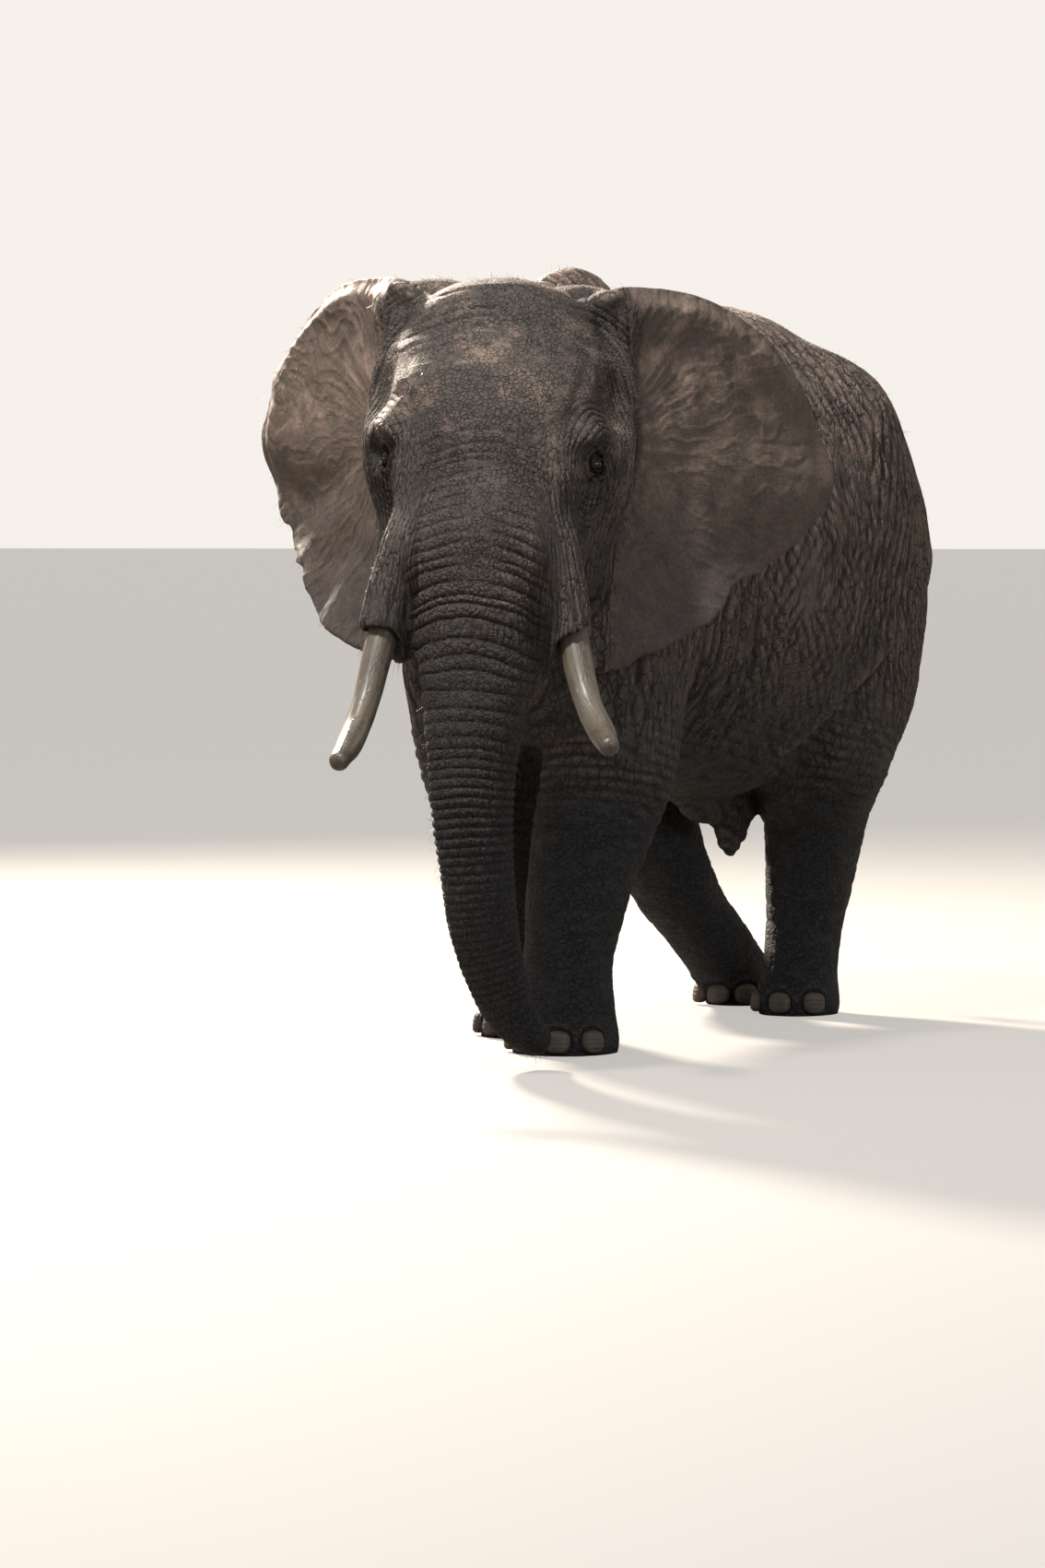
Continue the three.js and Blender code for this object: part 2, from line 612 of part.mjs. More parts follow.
// ---------------------------------------------------------------- ears
// A closed lens over a star-shaped outline: rings of points from a middle point out to the rim,
// front and back.
function lens(place, rings, around) {
  const positions = [];
  const faces = [];
  for (const face of [1, -1]) {
    const first = positions.length / 3;
    positions.push(...place(0, 0, face).toArray());
    rings.forEach((r, ring) => {
      for (let i = 0; i < around; i++) positions.push(...place(r, i / around, face).toArray());
      for (let i = 0; i < around; i++) {
        const j = (i + 1) % around;
        const here = first + 1 + ring * around;
        const tri = ring === 0
          ? [[first, here + i, here + j]]
          : [[here - around + i, here + i, here + j], [here - around + i, here + j, here - around + j]];
        for (const [a, b, c] of tri) faces.push(...(face > 0 ? [a, b, c] : [a, c, b]));
      }
    });
  }
  return new THREE.BufferGeometry()
    .setAttribute('position', new THREE.Float32BufferAttribute(positions, 3))
    .setIndex(faces);
}

// The ear's rim, unrolled: [out from the root, up], from the top of the root round to the lobe and back.
const EAR_RIM = [
  [-140, 3110], [40, 3200], [310, 3212], [540, 3178], [750, 3098], [930, 2990], [1075, 2850], [1175, 2700],
  [1245, 2560], [1262, 2445], [1205, 2325], [1080, 2205], [935, 2090], [800, 2025], [660, 1955], [530, 1830],
  [340, 1735], [160, 1650], [30, 1610], [-50, 1640], [-90, 1760], [-95, 1940], [-90, 2200], [-90, 2500],
  [-85, 2800],
];
const EAR_MIDDLE = [380, 2430];

function ear(s) {
  const rim = new THREE.CatmullRomCurve3(EAR_RIM.map(([out, up]) => V(out, up, 0)), true, 'centripetal');
  const sweepRoot = THREE.MathUtils.degToRad(s > 0 ? EAR.sweep.left : EAR.sweep.right);
  const droop = THREE.MathUtils.degToRad(s > 0 ? EAR.droop.left : EAR.droop.right);
  const curl = THREE.MathUtils.degToRad(EAR.curl) / EAR.reach;
  // follows the ear's curve back from the root: returns [to the side, to the back]
  const follow = (out, up) => {
    const lobe = THREE.MathUtils.smoothstep(2100 - up, 0, 500);
    const start = sweepRoot - THREE.MathUtils.degToRad(10 + 16 * lobe)
      + droop * THREE.MathUtils.smoothstep(2600 - up, 0, 350);
    const steps = 12;
    let [x, y] = [0, 0];
    for (let i = 0; i < steps; i++) {
      const angle = start + curl * out * ((i + 0.5) / steps);
      x += (Math.cos(angle) * out) / steps;
      y += (Math.sin(angle) * out) / steps;
    }
    return [x, y];
  };
  const onSheet = (out, up) => {
    const [x, y] = follow(out, up);
    const far = THREE.MathUtils.clamp(out / EAR.reach, 0, 1);
    const wave = 26 * far ** 1.5 * Math.sin(up / 95 + s) + 34 * THREE.MathUtils.smoothstep(up, 2950, 3160);
    const lean = 0.10 * (2500 - up); // the lobe hangs a little forward of the top
    return headPoint(s * (EAR_ROOT.side + x + 0.25 * wave), EAR_ROOT.front - y + wave + lean, up);
  };
  const place = (r, turn, face) => {
    const edge = r === 0 ? V(0, 0, 0) : rim.getPointAt(turn);
    const out = mix(EAR_MIDDLE[0], edge.x, r);
    const up = mix(EAR_MIDDLE[1], edge.y, r);
    const at = onSheet(out, up);
    if (r === 1) return at;
    const normal = onSheet(out + 5, up).sub(at).cross(onSheet(out, up + 5).sub(at)).normalize();
    const near = 1 - THREE.MathUtils.smoothstep(out, 0, 500);
    const thickness = mix(EAR.rimThickness, EAR.rootThickness, near) * (r > 0.7 ? 0.85 : 1);
    return at.addScaledVector(normal, (s * face * thickness) / 2);
  };
  return solid(lens((r, t, f) => place(r, s > 0 ? t : 1 - t, -f), [0.55, 1], 34));
}

// ---------------------------------------------------------------- tusks, eyes, nails, tail
// A round tube swept along a curve with a radius for every point of it, closed by domes.
function sweep(points, radii, { around = 9, steps = 8, dome = 2 } = {}) {
  const curve = new THREE.CatmullRomCurve3(points, false, 'centripetal');
  const frames = curve.computeFrenetFrames(steps, false);
  const rings = [];
  const radiusAt = (t) => {
    const k = Math.min(Math.floor(t * (radii.length - 1)), radii.length - 2);
    return mix(radii[k], radii[k + 1], t * (radii.length - 1) - k);
  };
  const addDome = (i, way) => {
    const r = radiusAt(way > 0 ? 1 : 0);
    const slices = [];
    for (let d = 1; d <= dome; d++) {
      const a = (d / dome) * (Math.PI / 2);
      slices.push({ i, shift: way * Math.sin(a) * r, r: Math.cos(a) * r });
    }
    return slices;
  };
  const slices = [...addDome(0, -1).reverse()];
  for (let i = 0; i <= steps; i++) slices.push({ i, shift: 0, r: radiusAt(i / steps) });
  slices.push(...addDome(steps, 1));
  for (const { i, shift, r } of slices) {
    const at = curve.getPointAt(i / steps).addScaledVector(frames.tangents[i], shift);
    if (r < 1e-3) rings.push([at]);
    else {
      rings.push(Array.from({ length: around }, (_, k) => {
        const a = (k / around) * 2 * Math.PI;
        return at.clone().addScaledVector(frames.normals[i], Math.cos(a) * r)
          .addScaledVector(frames.binormals[i], Math.sin(a) * r);
      }));
    }
  }
  return loft(rings);
}

// Joins rings of equal count, with single points as closed ends.
function loft(rings) {
  const positions = rings.flat().flatMap((p) => p.toArray());
  const faces = [];
  let start = 0;
  for (let r = 0; r + 1 < rings.length; r++) {
    const [a, b] = [rings[r].length, rings[r + 1].length];
    const [here, next] = [start, start + a];
    for (let k = 0; k < Math.max(a, b); k++) {
      const m = (k + 1) % Math.max(a, b);
      if (a === 1) faces.push(here, next + m, next + k);
      else if (b === 1) faces.push(here + k, here + m, next);
      else faces.push(here + k, here + m, next + m, here + k, next + m, next + k);
    }
    start = next;
  }
  return new THREE.BufferGeometry()
    .setAttribute('position', new THREE.Float32BufferAttribute(positions, 3))
    .setIndex(faces);
}

// Tusk stations: [side, front, up, share of the spread and drop that make the two tusks differ].
const TUSK_PATH = [
  [338, 540, 1960, 0], [394, 655, 1712, 0], [447, 800, 1488, 0.4], [500, 960, 1358, 0.8],
  [532, 1105, 1301, 1],
];

function tusk(s, extra) {
  const drop = s > 0 ? 54 : -54;
  const path = TUSK_PATH.map(
    ([side, front, up, w]) => headPoint(s * side + 12 + 45 * w, front, up + drop * w),
  );
  return solid(sweep(path, [TUSK.root, TUSK.root, TUSK.middle, TUSK.middle, TUSK.tip].map((r) => r + extra)));
}

// An eyeball set into the head's side, most of it inside.
function eye(s, head) {
  const inward = headPoint(s * EYE.side * 0.4, EYE.front - 60, EYE.up);
  const from = headPoint(s * 760, EYE.front + 60, EYE.up);
  const ray = new THREE.Raycaster(from, inward.clone().sub(from).normalize());
  const skin = ray.intersectObject(new THREE.Mesh(geometryOf(head)))[0].point;
  const centre = skin.clone().addScaledVector(ray.ray.direction, EYE.radius * EYE.depth);
  return (extra) => {
    const ball = new THREE.SphereGeometry(EYE.radius + extra, 10, 5);
    return solid(ball.translate(centre.x, centre.y, centre.z));
  };
}

const TAIL = [
  [0, 1650, 2560, 95], [0, 1790, 2440, 80], [4, 1858, 2220, 58], [8, 1868, 1900, 43],
  [6, 1862, 1560, 35], [0, 1860, 1230, 30],
];
const TUFT = { top: 1223, length: 330, width: 62, thickness: 30 };

function tail(hide) {
  const path = TAIL.map(([x, y, z]) => V(x, y, z));
  const radii = TAIL.map(([, , , r]) => r);
  return mainPiece(solid(sweep(path, radii, { around: 8, steps: 9, dome: 1 })).subtract(hide));
}

// The brush at the tail's end: a flat spindle, split a little below the tail.
function tuft() {
  const rows = [[0, 0.35], [0.12, 0.75], [0.4, 1], [0.7, 0.8], [0.92, 0.4], [1, 0]];
  const rings = rows.map(([t, w]) => {
    const z = TUFT.top - 32 - t * TUFT.length;
    if (w === 0) return [V(0, 1860, z)];
    return Array.from({ length: 8 }, (_, k) => {
      const a = (-k / 8) * 2 * Math.PI;
      return V(Math.cos(a) * TUFT.thickness * w, 1860 + Math.sin(a) * TUFT.width * w, z);
    });
  });
  return solid(loft([[V(0, 1860, TUFT.top - 31.5)], ...rings]));
}

function nails(foot, swollen) {
  const { name, at, radius, lean, angles } = foot;
  return angles.map((degrees, i) => {
    const a = THREE.MathUtils.degToRad(degrees + lean);
    const width = 46 + 8 * Math.cos(THREE.MathUtils.degToRad(degrees));
    const nail = new THREE.SphereGeometry(1, 7, 4)
      .scale(width, 34, 50)
      .rotateX(THREE.MathUtils.degToRad(-10))
      .rotateZ(a)
      .translate(at[0] + Math.sin(a) * radius, at[1] - Math.cos(a) * radius, 62);
    return [`${name}_nail_${i + 1}`, mainPiece(solid(nail).subtract(swollen))];
  });
}

const parts = makeFlesh();
const headBlock = parts.head_swollen;
const pieces = {};
for (const [side, s] of [['left', 1], ['right', -1]]) {
  pieces[`ear_${side}`] = mainPiece(ear(s).subtract(headBlock).subtract(parts.neck_swollen)
    .subtract(parts.torso_swollen));
  pieces[`tusk_${side}`] = tusk(s, 0);
  const ball = eye(s, parts.head);
  pieces[`eye_${side}`] = ball(0);
  parts.head = mainPiece(parts.head.subtract(ball(GAP)));
  for (const name of ['head', 'lower_jaw', 'trunk_root']) {
    parts[name] = mainPiece(parts[name].subtract(tusk(s, TUSK_SLEEVE)));
  }
}
pieces.tail = tail(parts.torso_swollen);
pieces.tail_tuft = tuft();
const FEET = [
  { name: 'forefoot_left', at: [262, -1040], radius: 228, lean: 0, angles: [-58, -20, 20, 58] },
  { name: 'forefoot_right', at: [-250, -400], radius: 228, lean: 0, angles: [-58, -20, 20, 58] },
  { name: 'hind_foot_left', at: [244, 1205], radius: 196, lean: 0, angles: [-46, 0, 46] },
  { name: 'hind_foot_right', at: [-240, 1510], radius: 166, lean: 0, angles: [-46, 0, 46] },
];
for (const foot of FEET) {
  Object.assign(pieces, Object.fromEntries(nails(foot, parts[`${foot.name}_swollen`])));
}

// the model's own origin: the middle of its footprint, on the floor
const placed = Object.entries({ ...parts, ...pieces }).filter(([name]) => !name.endsWith('swollen'))
  .map(([name, piece]) => [name, geometryOf(piece)]);
const bounds = new THREE.Box3();
for (const [, geometry] of placed) {
  bounds.union(new THREE.Box3().setFromBufferAttribute(geometry.attributes.position));
}
const middle = bounds.getCenter(V());

const MATERIALS = {
  skin: { color: 0x5b544f, roughness: 0.85, metalness: 0 },
  ivory: { color: 0xcdbb98, roughness: 0.45, metalness: 0 },
  eye: { color: 0x2a1b12, roughness: 0.12, metalness: 0 },
  nail: { color: 0x8d8172, roughness: 0.6, metalness: 0 },
};
const materialOf = (name) => {
  if (name.startsWith('tusk')) return 'ivory';
  if (name.startsWith('eye')) return 'eye';
  return name.includes('nail') ? 'nail' : 'skin';
};
const model = new THREE.Group();
for (const [name, geometry] of placed) {
  const material = new THREE.MeshStandardMaterial(MATERIALS[materialOf(name)]);
  const mesh = new THREE.Mesh(geometry.translate(-middle.x, -middle.y, -bounds.min.z), material);
  mesh.name = name;
  model.add(mesh);
}

export default model;
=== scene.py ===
import math
from itertools import product

import bpy
import numpy as np
from bpy.props import FloatProperty, FloatVectorProperty, IntProperty, PointerProperty
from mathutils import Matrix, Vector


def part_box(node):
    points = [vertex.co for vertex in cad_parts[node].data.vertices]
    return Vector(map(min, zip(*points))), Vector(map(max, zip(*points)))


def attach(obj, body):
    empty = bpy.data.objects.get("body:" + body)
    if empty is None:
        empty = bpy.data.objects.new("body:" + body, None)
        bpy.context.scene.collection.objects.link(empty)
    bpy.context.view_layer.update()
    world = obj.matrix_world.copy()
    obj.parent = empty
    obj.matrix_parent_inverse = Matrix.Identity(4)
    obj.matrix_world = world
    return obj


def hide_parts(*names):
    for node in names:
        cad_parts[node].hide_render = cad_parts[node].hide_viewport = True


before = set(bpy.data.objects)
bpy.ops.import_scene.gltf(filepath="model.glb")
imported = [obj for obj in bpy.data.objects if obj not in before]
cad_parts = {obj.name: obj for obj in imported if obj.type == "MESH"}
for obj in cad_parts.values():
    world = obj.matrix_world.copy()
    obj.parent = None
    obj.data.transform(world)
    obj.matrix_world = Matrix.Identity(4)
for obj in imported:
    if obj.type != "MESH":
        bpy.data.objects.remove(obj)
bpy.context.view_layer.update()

bl_info = {
    "name": "Walking Bull Elephant",
    "version": (1, 0, 0),
    "blender": (4, 5, 0),
    "location": "View3D > Sidebar > Elephant",
    "description": "Hide, eyes, tusks, nails and bristles of a life-size walking bull elephant",
    "category": "Add Mesh",
}

# The masses below are in millimetres round the animal's own middle, which stands here in the floor frame.
_low, _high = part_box("tail_tuft")
MIDDLE = np.array([(_low.x + _high.x) / 2, (_low.y + _high.y) / 2 - 1.860, 0.0])
BOTH = (1, -1)  # the animal's left and right


def placed(points):
    """Millimetres of the animal's own frame to metres of the floor frame."""
    return np.asarray(points, float) / 1000 + MIDDLE


# ---- small helpers
def smooth(x, low, high):
    t = np.clip((x - low) / (high - low), 0, 1)
    return t * t * (3 - 2 * t)


def mix(a, b, w):
    return a + (b - a) * w


def bell(x, width):
    return np.exp(-(x / width) ** 2)


def unit(v):
    return v / np.maximum(np.linalg.norm(v, axis=-1, keepdims=True), 1e-9)


def dots(a, b):
    return np.einsum("ij,ij->i", a, b)


def lattice(i, j, k, seed):
    """A fixed random number in 0..1 for every whole point of space."""
    n = (i.astype(np.uint32) * np.uint32(73856093)) ^ (j.astype(np.uint32) * np.uint32(19349663))
    n ^= (k.astype(np.uint32) * np.uint32(83492791)) + np.uint32((seed * 2654435761) % 2**32)
    n = (n ^ (n >> np.uint32(13))) * np.uint32(1274126177)
    n ^= n >> np.uint32(16)
    n = n * np.uint32(2246822519)
    n ^= n >> np.uint32(15)
    return (n & np.uint32(0xFFFFFF)).astype(np.float32) / np.float32(0x1000000)


def noise(p, scale, seed=0, octaves=1):
    """Soft noise in -1..1 with features about `scale` across."""
    total = np.zeros(len(p))
    weight = 1.0
    for octave in range(octaves):
        q = np.asarray(p) / scale * 2**octave + 100.5 + 17 * seed
        base = np.floor(q).astype(np.int64)
        f = (q - base).astype(np.float32)
        f = f * f * (3 - 2 * f)
        value = np.zeros(len(p), np.float32)
        for corner in product((0, 1), repeat=3):
            w = np.where(corner, f, 1 - f).prod(1)
            value += w * lattice(*(base + corner).T, seed * 7 + octave)
        total += weight * (value * 2 - 1)
        weight *= 0.5
    return total


def cracks(q, seed):
    """Distance from the nearest border between random cells, 0 on a border and about 0.5 inside a cell."""
    base = np.floor(q).astype(np.int64)
    f = (q - base).astype(np.float32)
    near = np.full(len(q), 9.0, np.float32)
    second = near.copy()
    for cell in product((-1, 0, 1), repeat=3):
        ijk = (base + cell).T
        d = sum((cell[axis] + 0.1 + 0.8 * lattice(*ijk, seed + axis) - f[:, axis]) ** 2 for axis in range(3))
        second = np.minimum(second, np.maximum(near, d))
        near = np.minimum(near, d)
    return (np.sqrt(second) - np.sqrt(near)).astype(float)


def groove(distance, width):
    """1 in the middle of a crease, 0 beyond its width."""
    return 1 - smooth(distance, 0, width)


def wave(level, spacing):
    """0 in the furrows between evenly spaced rolls, rising straight to 1 in the middle of each roll."""
    return np.abs((level / spacing) % 1 - 0.5) * 2


# ---- the head's own frame
TURN, ROLL, HEAD_LEVEL = math.radians(24), math.radians(2.5), 2400.0
HEAD_AT = (132.0, -1391.0)


def head_point(side, front, up):
    """A point given as to the head's left, to its front, and up."""
    side, front, up = np.broadcast_arrays(*(np.asarray(v, float) for v in (side, front, up)))
    dz = up - HEAD_LEVEL
    s = side * math.cos(ROLL) + dz * math.sin(ROLL)
    z = HEAD_LEVEL + dz * math.cos(ROLL) - side * math.sin(ROLL)
    c, t = math.cos(TURN), math.sin(TURN)
    return np.stack([HEAD_AT[0] + s * c + front * t, HEAD_AT[1] + s * t - front * c, z], -1)


def head_coords(p):
    """How far each point lies to the head's left, to its front, and up."""
    dx, dy, dz = p[:, 0] - HEAD_AT[0], p[:, 1] - HEAD_AT[1], p[:, 2] - HEAD_LEVEL
    c, t = math.cos(TURN), math.sin(TURN)
    s, front = dx * c + dy * t, dx * t - dy * c
    up = HEAD_LEVEL + s * math.sin(ROLL) + dz * math.cos(ROLL)
    return s * math.cos(ROLL) - dz * math.sin(ROLL), front, up


HEAD_AXES = np.stack([head_point(*v) - head_point(0, 0, 0) for v in ((1, 0, 0), (0, 1, 0), (0, 0, 1))])
HEAD_LEFT, HEAD_FRONT, HEAD_UP = HEAD_AXES


# ---- the two kinds of mass
def stretches(a, b):
    """The centripetal parameter's length between two rows of points."""
    return np.maximum(((b - a) ** 2).sum(1)[:, None] ** 0.25, 1e-4)


def spline(points, closed=False):
    """A centripetal curve through points, as a function of t in 0..1."""
    pts = np.asarray(points, float)
    n = len(pts)

    def at(t):
        k = np.atleast_1d(np.asarray(t, float)) * (n if closed else n - 1)
        i = np.floor(k).astype(int)
        if not closed:
            i = np.clip(i, 0, n - 2)
        w = (k - i)[:, None]

        def get(j):
            if closed:
                return pts[j % n]
            out = pts[np.clip(j, 0, n - 1)].copy()
            out[j < 0] = 2 * pts[0] - pts[1]
            out[j > n - 1] = 2 * pts[-1] - pts[-2]
            return out

        p0, p1, p2, p3 = (get(i + m) for m in (-1, 0, 1, 2))
        d0, d1, d2 = (stretches(a, b) for a, b in ((p0, p1), (p1, p2), (p2, p3)))
        m1 = ((p1 - p0) / d0 - (p2 - p0) / (d0 + d1) + (p2 - p1) / d1) * d1
        m2 = ((p2 - p1) / d1 - (p3 - p1) / (d1 + d2) + (p3 - p2) / d2) * d1
        return p1 + w * m1 + w * w * (-3 * p1 + 3 * p2 - 2 * m1 - m2) + w**3 * (2 * p1 - 2 * p2 + m1 + m2)

    return at


class Tube:
    """Oval sections along a curve. Sizes: half the width, and half the depth to the front and the back."""

    def __init__(self, points, sizes, across=(1, 0, 0), power=2.0, steps=36, blend=90.0, cap=1.0):
        at = spline(points)
        t = np.linspace(0, 1, steps + 1)
        self.at = at(t)
        self.tangent = unit(at(np.minimum(t + 1e-4, 1)) - at(np.maximum(t - 1e-4, 0)))
        across = np.asarray(across, float)
        self.side = unit(across - self.tangent * (self.tangent @ across)[:, None])
        self.face = np.cross(self.side, self.tangent)
        sizes = np.asarray(sizes, float)
        k = np.minimum(np.floor(t * (len(sizes) - 1)).astype(int), len(sizes) - 2)
        w = (t * (len(sizes) - 1) - k)[:, None]
        self.sizes = sizes[k] + (sizes[k + 1] - sizes[k]) * (w * w * (3 - 2 * w) * 0.5 + w * 0.5)
        self.power, self.blend, self.cap, self.steps = power, blend, cap, steps
        reach = self.sizes.max() + blend * 1.2 + 60
        self.low, self.high = self.at.min(0) - reach, self.at.max(0) + reach

    def coords(self, p):
        """How far along (0..1), across, to the face and lengthways; the section's sizes; the distance."""
        nearest = ((self.at**2).sum(1) - 2 * (p @ self.at.T)).argmin(1)
        best = None
        for seg in (np.maximum(nearest - 1, 0), np.minimum(nearest, self.steps - 1)):
            ab = self.at[seg + 1] - self.at[seg]
            h = np.clip(dots(p - self.at[seg], ab) / dots(ab, ab), 0, 1)
            q = p - self.at[seg] - h[:, None] * ab
            found = [dots(q, q), seg, h, q]
            if best is None:
                best = found
            else:
                closer = found[0] < best[0]
                best = [np.where(closer if b.ndim == 1 else closer[:, None], a, b)
                        for a, b in zip(found, best)]
        d, seg, h, q = best
        w = h[:, None]
        along = [mix(dots(q, v[seg]), dots(q, v[seg + 1]), h) for v in (self.side, self.face, self.tangent)]
        return (seg + h) / self.steps, *along, mix(self.sizes[seg], self.sizes[seg + 1], w), np.sqrt(d)

    def field(self, p):
        _, a, f, l, size, reach = self.coords(p)
        depth = np.where(f > 0, size[:, 1], size[:, 2])
        turn = smooth(f / (size[:, 1] + size[:, 2]), -0.25, 0.25)
        end = np.minimum(size[:, 0], mix(size[:, 2], size[:, 1], turn)) * self.cap
        k = (np.abs(a / size[:, 0]) ** self.power + np.abs(f / depth) ** self.power
             + np.abs(l / end) ** self.power) ** (1 / self.power)
        return np.where(reach < 1, -end, reach * (1 - 1 / np.maximum(k, 1e-6)))


class Lump:
    """An ellipsoid."""

    def __init__(self, at, radii, blend=90.0, axes=None):
        self.at = np.asarray(at, float).reshape(3)
        self.axes = np.eye(3) if axes is None else axes
        self.radii = np.asarray(radii, float)
        self.blend = blend
        reach = np.sqrt(((self.axes * self.radii[:, None]) ** 2).sum(0)) + blend * 1.2 + 60
        self.low, self.high = self.at - reach, self.at + reach

    def field(self, p):
        n = ((p - self.at) @ self.axes.T) / self.radii
        k = np.linalg.norm(n, axis=1)
        return k * (k - 1) / np.maximum(np.linalg.norm(n / self.radii, axis=1), 1e-12)


def head_lump(side, front, up, radii, blend):
    return Lump(head_point(side, front, up), radii, blend, HEAD_AXES)


def soft_min(d, e, blend):
    h = np.maximum(blend - np.abs(d - e), 0) / max(blend, 1e-9)
    return np.minimum(d, e) - h * h * blend * 0.25


def near_box(p, mass, grow=0.0):
    return np.flatnonzero(((p > mass.low - grow) & (p < mass.high + grow)).all(1))


def grid_points(low, count, step):
    """The points of an even grid that starts at `low`."""
    rulers = [low[i] + np.arange(n) * step for i, n in enumerate(count)]
    return np.stack(np.meshgrid(*rulers, indexing="ij"), -1).reshape(-1, len(count))


def union(masses, p, start=None):
    d = np.full(len(p), 1000.0) if start is None else start
    for m in masses:
        near = near_box(p, m)
        if len(near):
            d[near] = soft_min(d[near], m.field(p[near]), m.blend)
    return d


# ---- the animal's masses
# Torso stations from chest to rump: y, top line, belly line, level of greatest width, half width.
TORSO = [
    (-1130, 2760, 1600, 2150, 330), (-900, 3030, 1390, 2090, 480), (-640, 3165, 1280, 2020, 585),
    (-250, 3120, 1180, 1980, 650), (200, 3055, 1070, 1950, 705), (620, 3050, 985, 1950, 740),
    (1000, 3085, 1085, 1980, 745), (1300, 2975, 1310, 2000, 700), (1545, 2760, 1560, 2060, 590),
]
torso = Tube([(0, y, level) for y, top, belly, level, wide in TORSO],
             [(wide, top - level, level - belly) for y, top, belly, level, wide in TORSO],
             power=2.25, steps=40, blend=0.0, cap=0.42)
BARREL = [
    torso,
    Lump((95, -690, 3025), (165, 370, 260), 110),  # shoulder blades
    Lump((-195, -690, 2990), (190, 370, 260), 110),
    Lump((0, 850, 2710), (420, 620, 440), 200),  # spine over the hips
    *[Lump((s * 445, 1100, 2390), (325, 480, 560), 180) for s in BOTH],  # hips
    *[Lump((s * 418, 1378, 1955), (335, 440, 620), 180) for s in BOTH],  # thighs
    *[Lump((s * 430, -740, 2050), (205, 370, 620), 150) for s in BOTH],  # shoulders
    Lump((0, -980, 1720), (330, 330, 430), 160),  # brisket
    Lump((0, 880, 985), (110, 360, 120), 90),  # sheath
    Lump((10, 985, 870), (66, 115, 95), 70),
    Lump((6, 975, 800), (36, 62, 84), 60),
]
neck = Tube([(0, -760, 2330), (60, -1040, 2380), (170, -1290, 2480)],
            [(520, 640, 620), (470, 600, 570), (430, 560, 520)], power=2.2, steps=12, blend=170)
# Leg stations: x, y, z, half width, half depth to the front, half depth to the back.
LEG_ROWS = {
    "forefoot_left": [
        (385, -735, 1980, 235, 330, 330), (378, -765, 1520, 250, 345, 335),
        (345, -815, 1180, 255, 315, 325), (312, -895, 940, 236, 268, 288),
        (286, -980, 660, 202, 225, 225), (270, -1030, 390, 176, 206, 196),
        (262, -1040, 190, 205, 222, 208), (262, -1040, 60, 222, 236, 218),
    ],
    "forefoot_right": [
        (-385, -700, 1980, 235, 330, 330), (-380, -705, 1540, 245, 335, 330),
        (-350, -660, 1200, 245, 305, 315), (-318, -590, 930, 222, 256, 270),
        (-290, -510, 660, 196, 220, 220), (-265, -440, 380, 176, 202, 194),
        (-255, -410, 190, 205, 218, 205), (-250, -400, 60, 222, 236, 218),
    ],
    "hind_foot_left": [
        (400, 1230, 1900, 290, 480, 430), (412, 1200, 1500, 330, 430, 500),
        (354, 1200, 1130, 276, 330, 380), (300, 1250, 860, 214, 252, 255),
        (262, 1270, 600, 186, 214, 214), (246, 1252, 400, 162, 182, 182),
        (244, 1222, 210, 160, 186, 170), (244, 1205, 60, 180, 214, 180),
    ],
    "hind_foot_right": [
        (-400, 1230, 1900, 290, 480, 430), (-412, 1120, 1500, 295, 420, 440),
        (-400, 960, 1130, 240, 335, 325), (-385, 930, 880, 215, 262, 262),
        (-345, 1060, 620, 182, 205, 205), (-305, 1250, 410, 158, 168, 166),
        (-262, 1420, 240, 160, 172, 165), (-240, 1520, 110, 172, 158, 172),
    ],
}
legs = {name: Tube([r[:3] for r in rows], [r[3:] for r in rows], across=(-1, 0, 0), steps=30, power=2.15)
        for name, rows in LEG_ROWS.items()}
LEG_DETAILS = [  # elbows, kneecaps
    Lump((372, -590, 1290), (120, 150, 210), 110), Lump((-372, -500, 1310), (120, 150, 210), 110),
    Lump((330, 985, 1060), (120, 110, 170), 110), Lump((-392, 730, 980), (125, 110, 160), 110),
]
SKULL_ROWS = ((15, 2900), (50, 2820), (130, 2640), (250, 2400), (380, 2150), (480, 1930))
SKULL_SIZES = [
    (370, 285, 205), (425, 335, 290), (455, 425, 360), (430, 415, 380), (350, 355, 330), (290, 300, 280),
]
skull = Tube([head_point(0, f, u) for f, u in SKULL_ROWS], SKULL_SIZES,
             across=-HEAD_LEFT, power=2.5, steps=24, blend=120)
# Tusk sheaths: side, front, up, half width, half depth to the front, half depth to the back.
SHEATH_ROWS = [
    (240, 470, 2330, 110, 120, 120), (290, 560, 2080, 120, 120, 130),
    (345, 605, 1930, 103, 98, 105), (374, 632, 1790, 88, 82, 88),
]
sheaths = [Tube([head_point(s * r[0], r[1], r[2]) for r in SHEATH_ROWS], [r[3:] for r in SHEATH_ROWS],
                across=-HEAD_LEFT, steps=12) for s in BOTH]
# Masses on both sides of the head: side, front, up, radii, blend.
CHEEK_ROWS = [
    (290, -190, 3062, (250, 130, 150), 80),  # folds from the ears over the nape
    (330, 30, 2680, (165, 260, 300), 90),  # temples
    (385, 352, 2585, (80, 125, 62), 70),  # brow ridges
    (392, 120, 2500, (155, 225, 275), 90),  # cheekbones
    (420, -70, 2650, (125, 150, 340), 90),  # ear roots
    (335, 60, 2120, (135, 220, 270), 110),  # jaw muscles
]
HEAD_MASSES = [
    skull,
    head_lump(0, -40, 2860, (425, 315, 325), 110),  # crown
    *[head_lump(s * side, *rest) for side, *rest in CHEEK_ROWS for s in BOTH],
    *sheaths,
    *[head_lump(s * 300, 590, 1750, (60, 85, 115), 60) for s in BOTH],  # skin between sheath and trunk
]
JAW = [head_lump(0, 230, 1900, (250, 330, 190), 110), head_lump(0, 455, 1745, (150, 190, 112), 90)]
